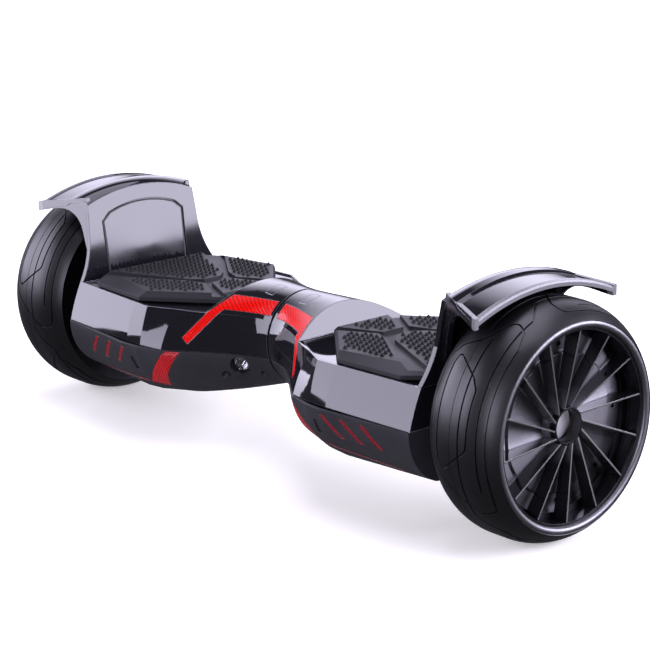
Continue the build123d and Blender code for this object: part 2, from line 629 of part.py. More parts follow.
with BuildPart() as motor_cover:
    with BuildSketch(Plane.XZ):
        with BuildLine():
            ring_section([(WHEEL_X + 14, 79.0), (WHEEL_X + 18, 79.0), (WHEEL_X + 18, 64.0),
                          (WHEEL_X + 20, 62.0), (WHEEL_X + 20, HUB_R + 2), (WHEEL_X + 18, HUB_R + 2),
                          (WHEEL_X + 18, 0), (WHEEL_X + 16, 0),
                          (WHEEL_X + 16, BEARING_R), (WHEEL_X + 5.5, BEARING_R),
                          (WHEEL_X + 5.5, BEARING_R + 3.5), (WHEEL_X + 14, BEARING_R + 3.5)])
        make_face()
    revolve(axis=AXLE_AXIS)
    with BuildSketch(Plane.YZ.offset(WHEEL_X + 10)):
        with Locations((0, AXLE_Z)):
            with PolarLocations(COVER_SCREW_CIRCLE_R, COVER_SCREW_COUNT):
                Circle(COVER_SCREW_R)
    extrude(amount=12, mode=Mode.SUBTRACT)
write_pair(motor_cover.part, "motor_cover")

with BuildPart() as magnet_ring:
    with BuildSketch(Plane.XZ):
        with BuildLine():
            ring_section([(WHEEL_X - 25, MAGNET_R), (WHEEL_X + 9, MAGNET_R),
                          (WHEEL_X + 9, MAGNET_R - MAGNET_THICK), (WHEEL_X - 25, MAGNET_R - MAGNET_THICK)])
        make_face()
    revolve(axis=AXLE_AXIS)
write_pair(magnet_ring.part, "magnet_ring")

with BuildPart() as wheel_bearings:
    with BuildSketch(Plane.XZ):
        for bearing_x in (WHEEL_IN_X + 6.6, WHEEL_X + 5.7):
            with BuildLine():
                ring_section([(bearing_x, AXLE_R + RUNNING), (bearing_x, BEARING_R),
                              (bearing_x + 10, BEARING_R), (bearing_x + 10, AXLE_R + RUNNING)])
            make_face()
    revolve(axis=AXLE_AXIS)
write_pair(wheel_bearings.part, "wheel_bearings")

with BuildPart() as rim_ring:
    with BuildSketch(Plane.XZ):
        with BuildLine():
            Polyline((WHEEL_X + 33.2, AXLE_Z + RIM_IN_R), (WHEEL_X + 33.2, AXLE_Z + RIM_OUT_R - 0.2),
                     (WHEEL_OUT_X - 1.5, AXLE_Z + RIM_OUT_R - 0.2))
            ThreePointArc((WHEEL_OUT_X - 1.5, AXLE_Z + RIM_OUT_R - 0.2),
                          (WHEEL_OUT_X, AXLE_Z + (RIM_IN_R + RIM_OUT_R) / 2),
                          (WHEEL_OUT_X - 2.5, AXLE_Z + RIM_IN_R))
            Line((WHEEL_OUT_X - 2.5, AXLE_Z + RIM_IN_R), (WHEEL_X + 33.2, AXLE_Z + RIM_IN_R))
        make_face()
    revolve(axis=AXLE_AXIS)
write_pair(rim_ring.part, "rim_ring")

with BuildPart() as wheel_cover:
    # outer band and hub tube
    with BuildSketch(Plane.XZ):
        with BuildLine():
            ring_section([(WHEEL_X + 22, RIM_IN_R - 0.1), (WHEEL_OUT_X - 4, RIM_IN_R - 0.1),
                          (WHEEL_OUT_X - 4, RIM_IN_R - 2.6), (WHEEL_X + 22, RIM_IN_R - 2.6)])
        make_face()
        with BuildLine():
            ring_section([(WHEEL_X + 20, HUB_R), (WHEEL_X + 20, HUB_R + 6), (WHEEL_X + 23, HUB_R + 5),
                          (WHEEL_X + 26, HUB_R + 1.4), (HUB_FACE_X, HUB_R + 1.4), (HUB_FACE_X, HUB_R)])
        make_face()
    revolve(axis=AXLE_AXIS)
    # blades stand straight back from front edges that pass beside the centre
    for i in range(BLADE_COUNT):
        turn = radians(BLADE_FIRST - degrees(asin(BLADE_LEAN / RIM_IN_R)) + i * 360 / BLADE_COUNT)
        across = (0, -sin(turn), cos(turn))
        with BuildSketch(Plane(origin=(0, BLADE_LEAN * across[1], AXLE_Z + BLADE_LEAN * across[2]),
                               x_dir=(1, 0, 0), z_dir=across)):
            with BuildLine():
                Polyline((WHEEL_X + 20.2, HUB_R - 1.6), (HUB_FACE_X, HUB_R - 1.6),
                         (WHEEL_OUT_X - 4, RIM_IN_R - 1.2), (WHEEL_X + 22, RIM_IN_R - 1.2), close=True)
            make_face()
        extrude(amount=BLADE_THICK / 2, both=True)
write_pair(wheel_cover.part, "wheel_cover")

# ---------------------------------------------------------------- axle and stator
AXLE_IN_X = 226.0
AXLE_WIRE_R = 4.0                    # bore for the motor's leads
AXLE_FLAT_LENGTH = 24.0
with BuildPart() as axle:
    with BuildSketch(Plane.YZ.offset(AXLE_IN_X)):
        with Locations((0, AXLE_Z)):
            Circle(AXLE_R)
            Circle(AXLE_WIRE_R, mode=Mode.SUBTRACT)
    extrude(amount=WHEEL_X + 15.6 - AXLE_IN_X)
    chamfer(axle.edges().filter_by(GeomType.CIRCLE).sort_by(Axis.X)[-1], 0.8)
    # flats that the clamp grips
    with BuildSketch(Plane.YZ.offset(AXLE_IN_X)):
        with Locations((0, AXLE_Z + AXLE_R), (0, AXLE_Z - AXLE_R)):
            Rectangle(20, 2.4)
    extrude(amount=AXLE_FLAT_LENGTH, mode=Mode.SUBTRACT)
write_pair(axle.part, "axle")

SLOT_COUNT = 27
SLOT_CIRCLE_R, SLOT_LENGTH, SLOT_WIDTH = 56.0, 18.0, 4.5
STATOR_BORE_R, STATOR_LENGTH = 40.0, 30.0
STATOR_IN_X = WHEEL_X - 23
SPIDER_IN_X, SPIDER_THICK = WHEEL_X - 13, 8.0
with BuildPart() as stator:
    with BuildSketch(Plane.YZ.offset(STATOR_IN_X)):
        with Locations((0, AXLE_Z)):
            Circle(MAGNET_R - MAGNET_THICK - AIR_GAP)
            Circle(STATOR_BORE_R, mode=Mode.SUBTRACT)
    extrude(amount=STATOR_LENGTH)
    with BuildSketch(Plane.YZ.offset(STATOR_IN_X)):
        with Locations((0, AXLE_Z)):
            with PolarLocations(SLOT_CIRCLE_R, SLOT_COUNT):
                Rectangle(SLOT_LENGTH, SLOT_WIDTH)
    extrude(amount=STATOR_LENGTH, mode=Mode.SUBTRACT)
    # spider that carries the laminations on the axle
    with BuildSketch(Plane.YZ.offset(SPIDER_IN_X)):
        with Locations((0, AXLE_Z)):
            Circle(STATOR_BORE_R + 1)
            Circle(AXLE_R, mode=Mode.SUBTRACT)
    extrude(amount=SPIDER_THICK)
write_pair(stator.part, "stator")

# ---------------------------------------------------------------- chassis halves
TRAY_IN_X, TRAY_OUT_X = 74.0, 250.0
TRAY_Y = 58.0
TRAY_WALL = 4.0
TRAY_LOW_Z, TRAY_FLOOR_Z = 56.5, 62.0
RAIL_TOP_Z = 112.0
NECK_TUBE_R = 24.0
NECK_NOSE_R = 20.0
NECK_NOSE_X, NECK_STEP_X = 3.0, 9.0
NECK_TUBE_END_X = 57.0               # beyond this the tube is cut flat to clear the deck
NECK_FLAT_Z = 131.5
BUSH_R = 18.0
BAR_X = (101.0, 187.0)               # cross bars that carry the boards
CLAMP_X = 226.5
CLAMP_Y = 24.0
CLAMP_GAP = 0.6
CLAMP_ROOM_Z, CLAMP_ROOM_HEIGHT = 120.0, 24.6     # opening in the end wall above the seat
CLAMP_SCREW_PITCH = (12.0, 34.0)
CLAMP_TAP_R, CLAMP_HOLE_R = 2.1, 2.6
BULKHEAD_HALF, BULKHEAD_TOP_Z, BULKHEAD_THICK = 34.0, 133.2, 5.0
STOP_HALF_ANGLE = 8.0
TWIST_LIMIT = 12.0


def chassis_body(bore_r):
    """Cast tray with rails, cross bars, axle seat and a neck tube bored for the pivot."""
    with BuildPart() as cast:
        with BuildSketch(Plane.XY.offset(TRAY_LOW_Z)):
            with BuildLine():
                Polyline(*both_sides([(TRAY_IN_X, BULKHEAD_HALF), (94.0, TRAY_Y), (TRAY_OUT_X, TRAY_Y)]),
                         close=True)
            make_face()
        extrude(amount=RAIL_TOP_Z - TRAY_LOW_Z)
        with BuildSketch(Plane.XY.offset(TRAY_FLOOR_Z)):
            with BuildLine():
                Polyline(*both_sides([(TRAY_IN_X + BULKHEAD_THICK, BULKHEAD_HALF - 3),
                                      (95.5, TRAY_Y - TRAY_WALL),
                                      (TRAY_OUT_X - TRAY_WALL, TRAY_Y - TRAY_WALL)]), close=True)
            make_face()
        extrude(amount=RAIL_TOP_Z, mode=Mode.SUBTRACT)
        # cross bars between the rails
        with BuildSketch(Plane.XY.offset(RAIL_TOP_Z - 6)):
            for bar_x in BAR_X:
                with Locations((bar_x, 0)):
                    Rectangle(10, 2 * TRAY_Y - 2)
        extrude(amount=6)
        # neck tube and the bulkhead that ties it to the tray
        with BuildSketch(Plane.YZ.offset(TRAY_IN_X)):
            with BuildLine():
                Line((-BULKHEAD_HALF, RAIL_TOP_Z), (BULKHEAD_HALF, RAIL_TOP_Z))
                ThreePointArc((BULKHEAD_HALF, RAIL_TOP_Z), (0, BULKHEAD_TOP_Z),
                              (-BULKHEAD_HALF, RAIL_TOP_Z))
            make_face()
        extrude(amount=BULKHEAD_THICK)
        for start_x, end_x, tube_r in ((NECK_NOSE_X, NECK_STEP_X, NECK_NOSE_R),
                                       (NECK_STEP_X, NECK_TUBE_END_X, NECK_TUBE_R)):
            with BuildSketch(Plane.YZ.offset(start_x)):
                with Locations((0, NECK_Z)):
                    Circle(tube_r)
            extrude(amount=end_x - start_x)
        with BuildSketch(Plane.YZ.offset(NECK_TUBE_END_X)):
            with Locations((0, NECK_Z)):
                Circle(NECK_TUBE_R)
            with Locations((0, NECK_FLAT_Z + 10)):
                Rectangle(60, 20, mode=Mode.SUBTRACT)
        extrude(amount=TRAY_IN_X + BULKHEAD_THICK - NECK_TUBE_END_X)
        with BuildSketch(Plane.XZ):
            with BuildLine():
                Polyline((40, 95), (TRAY_IN_X + 2, TRAY_LOW_Z + 1), (TRAY_IN_X + 2, 100), close=True)
            make_face()
        extrude(amount=4, both=True)
        with BuildSketch(Plane.YZ):
            with Locations((0, NECK_Z)):
                Circle(bore_r)
        extrude(amount=TRAY_OUT_X - 30, mode=Mode.SUBTRACT)
        # axle seat
        with BuildSketch(Plane.YZ.offset(CLAMP_X)):
            with Locations((0, (TRAY_LOW_Z + AXLE_Z - CLAMP_GAP / 2) / 2)):
                Rectangle(2 * CLAMP_Y, AXLE_Z - CLAMP_GAP / 2 - TRAY_LOW_Z)
        extrude(amount=TRAY_OUT_X - CLAMP_X)
        with BuildSketch(Plane.YZ.offset(CLAMP_X - 1)):
            with Locations((0, AXLE_Z)):
                Circle(AXLE_R)
            with Locations((0, CLAMP_ROOM_Z)):
                Rectangle(2 * CLAMP_Y, CLAMP_ROOM_HEIGHT)
        extrude(amount=TRAY_OUT_X - CLAMP_X + 2, mode=Mode.SUBTRACT)
        # screw holes: clamp screws from above, shell screws from below
        with BuildSketch(Plane.XY.offset(AXLE_Z)):
            with Locations(((CLAMP_X + TRAY_OUT_X) / 2, 0)):
                with GridLocations(*CLAMP_SCREW_PITCH, 2, 2):
                    Circle(CLAMP_TAP_R)
        extrude(amount=-22, mode=Mode.SUBTRACT)
        with BuildSketch(Plane.XY.offset(TRAY_LOW_Z - 1)):
            for x, y in TRAY_SCREWS:
                with Locations((x, y), (x, -y)):
                    Circle(SCREW_R + 0.1)
        extrude(amount=6, mode=Mode.SUBTRACT)
    return cast.part


def stop_sector(half_angle, inner_r, outer_r, x, length):
    """Wedge of a ring under the neck axis, for the lug and the notch that limit the twist."""
    reach = 40
    with BuildPart() as wedge:
        with BuildSketch(Plane.YZ.offset(x)):
            with Locations((0, NECK_Z)):
                Circle(outer_r)
                Circle(inner_r, mode=Mode.SUBTRACT)
            with BuildLine():
                Polyline((0, NECK_Z), (-reach * tan(radians(half_angle)), NECK_Z - reach),
                         (reach * tan(radians(half_angle)), NECK_Z - reach), close=True)
            make_face(mode=Mode.INTERSECT)
        extrude(amount=length)
    return wedge.part


cast_right = chassis_body(BUSH_R)
cast_left = mirror(chassis_body(SHAFT_R), about=Plane.YZ)
with BuildPart() as right_chassis:
    add(cast_right)
with BuildPart() as left_chassis:
    add(cast_left)
    # lug that runs in the gap between the right tube's shoulder and its own
    add(stop_sector(STOP_HALF_ANGLE, NECK_TUBE_R - 5.5, NECK_TUBE_R, -10.0, 22.0))
with BuildPart() as stop_notch:
    add(stop_sector(STOP_HALF_ANGLE + TWIST_LIMIT + 1.5, NECK_TUBE_R - 7.5, NECK_TUBE_R + 5, 2.0, 11.0))
right_chassis_part = right_chassis.part - stop_notch.part
write(right_chassis_part, "right_chassis")
write(left_chassis.part, "left_chassis")

with BuildPart() as axle_clamp:
    with BuildSketch(Plane.YZ.offset(CLAMP_X)):
        with BuildLine():
            Polyline((-CLAMP_Y, AXLE_Z + CLAMP_GAP / 2), (-CLAMP_Y, 116.0), (-13, 121.5), (13, 121.5),
                     (CLAMP_Y, 116.0), (CLAMP_Y, AXLE_Z + CLAMP_GAP / 2), close=True)
        make_face()
        with Locations((0, AXLE_Z)):
            Circle(AXLE_R, mode=Mode.SUBTRACT)
    extrude(amount=TRAY_OUT_X - CLAMP_X)
    with BuildSketch(Plane.XY.offset(AXLE_Z)):
        with Locations(((CLAMP_X + TRAY_OUT_X) / 2, 0)):
            with GridLocations(*CLAMP_SCREW_PITCH, 2, 2):
                Circle(CLAMP_HOLE_R)
    extrude(amount=20, mode=Mode.SUBTRACT)
write_pair(axle_clamp.part, "axle_clamp")

# ---------------------------------------------------------------- electronics
BOARD = 1.6
SWITCH_BOARD_X, SWITCH_BOARD_SIZE = 155.0, (128.0, 100.0)
SWITCH_SIDE, SWITCH_HEIGHT = 13.0, 9.0
SWITCH_STEM_R, SWITCH_STEM = 3.5, 5.2
GYRO_BOARD_X, GYRO_BOARD_SIZE, GYRO_POST_PITCH = 160.0, (50.0, 40.0), (42.0, 32.0)
GYRO_POST_R, GYRO_POST = 2.5, 5.0
GYRO_CHIP, GYRO_SOCKET, CHIP_HEIGHT = (10.0, 10.0), (9.0, 18.0), 2.5
MAIN_BOARD_X, MAIN_BOARD_SIZE, MAIN_POST_PITCH = 150.0, (104.0, 90.0), (92.0, 78.0)
MAIN_POST_R, MAIN_POST = 3.0, 4.0
SPREADER_SIZE, PLUG_SIZE, PLUG_HEIGHT = (14.0, 74.0), (12.0, 14.0), 11.0
CAPACITOR_R, CAPACITOR_HEIGHT = 8.0, 24.0
with BuildPart() as pad_switch_board:
    with BuildSketch(Plane.XY.offset(RAIL_TOP_Z)):
        with Locations((SWITCH_BOARD_X, 0)):
            RectangleRounded(*SWITCH_BOARD_SIZE, 4)
    extrude(amount=BOARD)
    with BuildSketch(Plane.XY.offset(RAIL_TOP_Z + BOARD)):
        for px in PLUNGER_X:
            with Locations((px, -PLUNGER_Y), (px, PLUNGER_Y)):
                Rectangle(SWITCH_SIDE, SWITCH_SIDE)
    extrude(amount=SWITCH_HEIGHT)
    with BuildSketch(Plane.XY.offset(RAIL_TOP_Z + BOARD + SWITCH_HEIGHT)):
        for px in PLUNGER_X:
            with Locations((px, -PLUNGER_Y), (px, PLUNGER_Y)):
                Circle(SWITCH_STEM_R)
    extrude(amount=SWITCH_STEM)
write_pair(pad_switch_board.part, "pad_switch_board")

with BuildPart() as gyro_board:
    with BuildSketch(Plane.XY.offset(RAIL_TOP_Z + BOARD)):
        with Locations((GYRO_BOARD_X, 0)):
            with GridLocations(*GYRO_POST_PITCH, 2, 2):
                Circle(GYRO_POST_R)
    extrude(amount=GYRO_POST)
    with BuildSketch(Plane.XY.offset(RAIL_TOP_Z + BOARD + GYRO_POST)):
        with Locations((GYRO_BOARD_X, 0)):
            RectangleRounded(*GYRO_BOARD_SIZE, 3)
    extrude(amount=BOARD)
    with BuildSketch(Plane.XY.offset(RAIL_TOP_Z + 2 * BOARD + GYRO_POST)):
        with Locations((152, 4)):
            Rectangle(*GYRO_CHIP)
        with Locations((172, -8)):
            Rectangle(*GYRO_SOCKET)
    extrude(amount=CHIP_HEIGHT)
write_pair(gyro_board.part, "gyro_board")

with BuildPart() as main_board:
    with BuildSketch(Plane.XY.offset(TRAY_FLOOR_Z)):
        with Locations((MAIN_BOARD_X, 0)):
            with GridLocations(*MAIN_POST_PITCH, 2, 2):
                Circle(MAIN_POST_R)
    extrude(amount=MAIN_POST)
    with BuildSketch(Plane.XY.offset(TRAY_FLOOR_Z + MAIN_POST)):
        with Locations((MAIN_BOARD_X, 0)):
            RectangleRounded(*MAIN_BOARD_SIZE, 3)
    extrude(amount=BOARD)
    # heat spreader, capacitors and connectors
    with BuildSketch(Plane.XY.offset(TRAY_FLOOR_Z + MAIN_POST + BOARD)):
        with Locations((185, 0)):
            Rectangle(*SPREADER_SIZE)
        with Locations((110, -24), (110, 0), (110, 24)):
            Rectangle(*PLUG_SIZE)
    extrude(amount=PLUG_HEIGHT)
    with BuildSketch(Plane.XY.offset(TRAY_FLOOR_Z + MAIN_POST + BOARD)):
        with Locations((145, -28), (145, 28)):
            Circle(CAPACITOR_R)
    extrude(amount=CAPACITOR_HEIGHT)
write(main_board.part, "main_board")

CELL_R, CELL_LENGTH = 9.1, 65.0
CELL_PITCH = 18.6
CELL_COUNT, CELL_FIRST_X = 5, 113.0  # cells in a row, and where the row begins on the left half
CASE_X, CASE_SIZE, CASE_HEIGHT, CASE_WALL = 150.2, (98.0, 72.0), 42.0, 1.3
with BuildPart() as battery_cells:
    for row_z in (TRAY_FLOOR_Z + 1.6 + CELL_R, TRAY_FLOOR_Z + 1.6 + CELL_R + CELL_PITCH):
        with BuildSketch(Plane.XZ.offset(-CELL_LENGTH / 2)):
            with Locations(*[(-(CELL_FIRST_X + i * CELL_PITCH), row_z) for i in range(CELL_COUNT)]):
                Circle(CELL_R)
        extrude(amount=CELL_LENGTH)
write(battery_cells.part, "battery_cells")

with BuildPart() as battery_case:
    with BuildSketch(Plane.XY.offset(TRAY_FLOOR_Z)):
        with Locations((-CASE_X, 0)):
            RectangleRounded(*CASE_SIZE, 4)
    extrude(amount=CASE_HEIGHT)
    offset(amount=-CASE_WALL, kind=Kind.INTERSECTION, mode=Mode.SUBTRACT)
write(battery_case.part, "battery_case")

# light boards behind the strips, seen through windows in the shell
LED_BOARD_IN_X = 14.5                # clear of the centre seal
LED_DEEP = body_solid(upper_profile, WALL + BOARD)
with BuildPart() as led_boards:
    add((shrunk_band(LED_BAND, 2.2) & upper_core) - LED_DEEP)
    add(deck_cut(DECK_Z - DECK_FLOOR_Z + WALL + 0.5), mode=Mode.SUBTRACT)
    add(band([(0, 100), (0, 175), (LED_BOARD_IN_X, 175), (LED_BOARD_IN_X, 100)]), mode=Mode.SUBTRACT)
write_pair(led_boards.part, "led_boards")

# ---------------------------------------------------------------- pivot between the halves
NECK_AXIS = Axis((0, 0, NECK_Z), (1, 0, 0))
SHAFT_LEFT_X, SHAFT_RIGHT_X = -62.0, 62.0
RING_X = 57.3                        # groove of the retaining ring
RING_OUT_R, RING_IN_R, RING_THICK = 17.2, 13.7, 2.0
GROOVE_R, GROOVE_WIDTH = 13.6, 2.2
SHAFT_BORE_R = 11.0
BUSH_LENGTH = 12.0
HARNESS_R, HARNESS_END_X = 5.0, 86.0
with BuildPart() as pivot_shaft:
    with BuildSketch(Plane.XZ):
        with BuildLine():
            Polyline((SHAFT_LEFT_X, NECK_Z + SHAFT_BORE_R), (SHAFT_LEFT_X, NECK_Z + SHAFT_R),
                     (RING_X, NECK_Z + SHAFT_R), (RING_X, NECK_Z + GROOVE_R),
                     (RING_X + GROOVE_WIDTH, NECK_Z + GROOVE_R), (RING_X + GROOVE_WIDTH, NECK_Z + SHAFT_R),
                     (SHAFT_RIGHT_X, NECK_Z + SHAFT_R), (SHAFT_RIGHT_X, NECK_Z + SHAFT_BORE_R), close=True)
        make_face()
    revolve(axis=NECK_AXIS)
write(pivot_shaft.part, "pivot_shaft")

with BuildPart() as pivot_bushings:
    for bush_x in (NECK_NOSE_X + 0.5, NECK_TUBE_END_X - BUSH_LENGTH - 0.5):
        with BuildSketch(Plane.YZ.offset(bush_x)):
            with Locations((0, NECK_Z)):
                Circle(BUSH_R)
                Circle(SHAFT_R + RUNNING, mode=Mode.SUBTRACT)
        extrude(amount=BUSH_LENGTH)
write(pivot_bushings.part, "pivot_bushings")

with BuildPart() as retaining_ring:
    with BuildSketch(Plane.YZ.offset(RING_X + 0.1)):
        with Locations((0, NECK_Z)):
            Circle(RING_OUT_R)
            Circle(RING_IN_R, mode=Mode.SUBTRACT)
        with Locations((0, NECK_Z + 15.5)):
            Rectangle(7, 6, mode=Mode.SUBTRACT)
    extrude(amount=RING_THICK)
write(retaining_ring.part, "retaining_ring")

SEAL_R = NECK_R - WALL - 0.6
SEAL_LEFT_X, SEAL_RIGHT_X = -10.5, 6.0
SEAL_THICK = 2.6
with BuildPart() as centre_seal:
    with BuildSketch(Plane.YZ.offset(SEAL_LEFT_X)):
        with Locations((0, NECK_Z)):
            Circle(SEAL_R)
            Circle(NECK_TUBE_R, mode=Mode.SUBTRACT)
    extrude(amount=SEAL_THICK)
    with BuildSketch(Plane.YZ.offset(SEAL_LEFT_X)):
        with Locations((0, NECK_Z)):
            Circle(SEAL_R)
            Circle(SEAL_R - SEAL_THICK, mode=Mode.SUBTRACT)
    extrude(amount=SEAL_RIGHT_X - SEAL_LEFT_X)
write(centre_seal.part, "centre_seal")

with BuildPart() as main_harness:
    with BuildSketch(Plane.YZ.offset(-HARNESS_END_X)):
        with Locations((0, NECK_Z)):
            Circle(HARNESS_R)
    extrude(amount=2 * HARNESS_END_X)
write(main_harness.part, "main_harness")
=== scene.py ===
import json
import math

import bpy
import numpy as np
from mathutils import Matrix, Vector
from mathutils.geometry import delaunay_2d_cdt


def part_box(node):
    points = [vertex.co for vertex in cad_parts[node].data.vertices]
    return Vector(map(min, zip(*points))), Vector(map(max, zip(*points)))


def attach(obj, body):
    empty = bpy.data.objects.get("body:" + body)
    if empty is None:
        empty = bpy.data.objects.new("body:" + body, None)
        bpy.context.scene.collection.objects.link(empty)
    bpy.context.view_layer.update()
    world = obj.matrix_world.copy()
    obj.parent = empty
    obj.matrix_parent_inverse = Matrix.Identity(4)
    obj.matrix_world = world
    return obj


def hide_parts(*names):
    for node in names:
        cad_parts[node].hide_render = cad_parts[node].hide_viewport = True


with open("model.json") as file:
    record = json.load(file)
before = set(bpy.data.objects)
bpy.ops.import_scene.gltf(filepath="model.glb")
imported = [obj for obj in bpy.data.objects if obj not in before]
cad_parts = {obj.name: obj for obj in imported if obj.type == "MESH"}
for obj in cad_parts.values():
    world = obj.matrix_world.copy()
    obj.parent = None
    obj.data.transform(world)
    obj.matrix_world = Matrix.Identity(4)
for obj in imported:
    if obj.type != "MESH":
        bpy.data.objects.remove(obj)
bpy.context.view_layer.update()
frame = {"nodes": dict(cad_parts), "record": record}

# ------------------------------------------------------------------ camera, floor and light
CAMERA_AZIMUTH = math.radians(49.0386)
CAMERA_ELEVATION = math.radians(15.5514)
CAMERA_ROLL = math.radians(-0.5527)
CAMERA_PLACE = Vector((1.56909, -1.32482, 0.69029))
CAMERA_LENS = 118.99
CAMERA_SENSOR = 36.0


def set_camera():
    """Camera at its measured place, level apart from a small roll."""
    back = Vector((math.sin(CAMERA_AZIMUTH) * math.cos(CAMERA_ELEVATION),
                   -math.cos(CAMERA_AZIMUTH) * math.cos(CAMERA_ELEVATION), math.sin(CAMERA_ELEVATION)))
    right = (-back).cross(Vector((0, 0, 1))).normalized()
    up = right.cross(-back)
    right, up = (math.cos(CAMERA_ROLL) * right + math.sin(CAMERA_ROLL) * up,
                 -math.sin(CAMERA_ROLL) * right + math.cos(CAMERA_ROLL) * up)
    data = bpy.data.cameras.new("camera")
    data.lens = CAMERA_LENS
    data.sensor_width = CAMERA_SENSOR
    data.clip_start, data.clip_end = 0.05, 60.0
    camera = bpy.data.objects.new("camera", data)
    bpy.context.scene.collection.objects.link(camera)
    place = Matrix((right, up, back)).transposed().to_4x4()
    place.translation = CAMERA_PLACE
    camera.matrix_world = place
    bpy.context.scene.camera = camera


STUDIO_TINT = (0.83, 0.80, 1.0)
ROOM_TINT, ROOM_STRENGTH = (0.88, 0.86, 1, 1), 0.115     # what fills in between the lights
# name, direction from the object, distance and size in metres, power in watts, faded towards its edges
LIGHTS = (
    ("key_front_left", (-0.8, -0.62, 0.30), 2.6, (2.6, 1.5), 85, False),
    ("back_right", (0.77, 0.63, 0.335), 2.6, (2.4, 1.5), 140, False),
    ("overhead", (0.05, 0.1, 1.0), 2.2, (2.4, 1.6), 46, False),
    ("front_right_strip", (0.55, -0.9, 0.25), 2.4, (0.5, 1.4), 26, False),
    ("back_left", (-0.73, 0.63, 0.46), 2.6, (3.8, 2.2), 112, True),
)
LIGHT_AIM = (0, 0, 0.1)


def softbox(name, towards, distance, size, power):
    """Rectangular area light that stands in a direction from the object and faces it."""
    data = bpy.data.lights.new(name, "AREA")
    data.shape = "RECTANGLE"
    data.size, data.size_y = size
    data.energy = power
    data.color = STUDIO_TINT
    light = bpy.data.objects.new(name, data)
    bpy.context.scene.collection.objects.link(light)
    light.location = Vector(LIGHT_AIM) + Vector(towards).normalized() * distance
    light.rotation_euler = (Vector(LIGHT_AIM) - light.location).to_track_quat("-Z", "Y").to_euler()
    return light


def feather(light):
    """Fades a softbox out from its middle to its edges."""
    light.data.use_nodes = True
    tree = light.data.node_tree
    spot = tree.nodes.new("ShaderNodeNewGeometry").outputs["Parametric"]
    split = tree.nodes.new("ShaderNodeSeparateXYZ")
    tree.links.new(spot, split.inputs[0])
    waves = []
    for axis in ("X", "Y"):
        across = tree.nodes.new("ShaderNodeMath")
        across.operation = "MULTIPLY"
        across.inputs[1].default_value = math.pi
        tree.links.new(split.outputs[axis], across.inputs[0])
        wave = tree.nodes.new("ShaderNodeMath")
        wave.operation = "SINE"
        tree.links.new(across.outputs[0], wave.inputs[0])
        waves.append(wave.outputs[0])
    product = tree.nodes.new("ShaderNodeMath")
    product.operation = "MULTIPLY"
    tree.links.new(waves[0], product.inputs[0])
    tree.links.new(waves[1], product.inputs[1])
    emission = tree.nodes["Emission"]
    emission.inputs["Color"].default_value = (1, 1, 1, 1)
    tree.links.new(product.outputs[0], emission.inputs["Strength"])


def set_studio():
    """White backdrop for the camera, a dim tinted room for everything else, and the lights."""
    world = bpy.data.worlds.new("studio")
    bpy.context.scene.world = world
    world.use_nodes = True
    tree = world.node_tree
    tree.nodes.clear()
    seen = tree.nodes.new("ShaderNodeBackground")
    seen.inputs["Color"].default_value = (1, 1, 1, 1)
    seen.inputs["Strength"].default_value = 1.0
    lit = tree.nodes.new("ShaderNodeBackground")
    lit.inputs["Color"].default_value = ROOM_TINT
    lit.inputs["Strength"].default_value = ROOM_STRENGTH
    path = tree.nodes.new("ShaderNodeLightPath")
    mix = tree.nodes.new("ShaderNodeMixShader")
    out = tree.nodes.new("ShaderNodeOutputWorld")
    tree.links.new(path.outputs["Is Camera Ray"], mix.inputs["Fac"])
    tree.links.new(lit.outputs[0], mix.inputs[1])
    tree.links.new(seen.outputs[0], mix.inputs[2])
    tree.links.new(mix.outputs[0], out.inputs["Surface"])
    bpy.context.scene.view_settings.view_transform = "Standard"

    for name, towards, distance, size, power, faded in LIGHTS:
        light = softbox(name, towards, distance, size, power)
        if faded:
            feather(light)


# ------------------------------------------------------------------ mesh helpers
MM = 0.001
WHEEL_X = 316.5                      # millimetres, middle of the tyre
AXLE_Z = 108.0
SIDES = (("left", -1), ("right", 1))


def mesh_object(name, vertices, faces, smooth_angle=30.0):
    """Mesh from corners in millimetres, smooth across edges flatter than the angle."""
    mesh = bpy.data.meshes.new(name)
    mesh.from_pydata([(x * MM, y * MM, z * MM) for x, y, z in vertices], [], faces)
    mesh.validate()
    piece = bpy.data.objects.new(name, mesh)
    bpy.context.scene.collection.objects.link(piece)
    soften(piece, smooth_angle)
    return piece


def activate(piece):
    """Makes a piece the only one selected, for the operators that follow."""
    bpy.ops.object.select_all(action="DESELECT")
    piece.select_set(True)
    bpy.context.view_layer.objects.active = piece


def soften(piece, angle):
    """Smooths a piece across edges flatter than the angle, in degrees."""
    activate(piece)
    bpy.ops.object.shade_smooth_by_angle(angle=math.radians(angle))


def apply_modifiers(piece):
    """Turns a piece's modifiers into plain mesh."""
    activate(piece)
    for modifier in list(piece.modifiers):
        bpy.ops.object.modifier_apply(modifier=modifier.name)


# ------------------------------------------------------------------ materials
LIP_FROM = 315.5                     # fender's outer lip begins this far out, millimetres
CROWN_FROM = 205.0                   # and its crown this high
DECK_Z, SHELL_END_X = 138.6, 252.5   # shell's deck edge and its outboard edge
BLACK = (0.006, 0.006, 0.008)
GLOSS = 0.045                        # roughness of a polished moulding
GLOSS_EDGE = 0.0009                  # metres, how far its edges are rounded off
# pale grey painted on sharp edges as a painted highlight
PALE_EDGE = (0.55, 0.55, 0.60)
BARE_METAL = (0.30, 0.29, 0.29)
# painted highlight on the deck edge and the shell's outboard edge: how far towards pale grey
RIM_HIGHLIGHT = 0.95
DRAFT = (0.0, -0.958, 0.287)         # facing of a front wall that leans back
TUBE_R = 15.0                        # inside of the hub tube
BARE_FROM, BARE_TO = 17.0, 84.5      # radii between which the blades' edges are bare, millimetres
ROOT_TO = 36.0                       # radius where the blades, paler at the hub, are black again
EDGE_HIGHLIGHT = 0.20                     # painted highlight: how far a moulding's sharp edges go towards pale grey
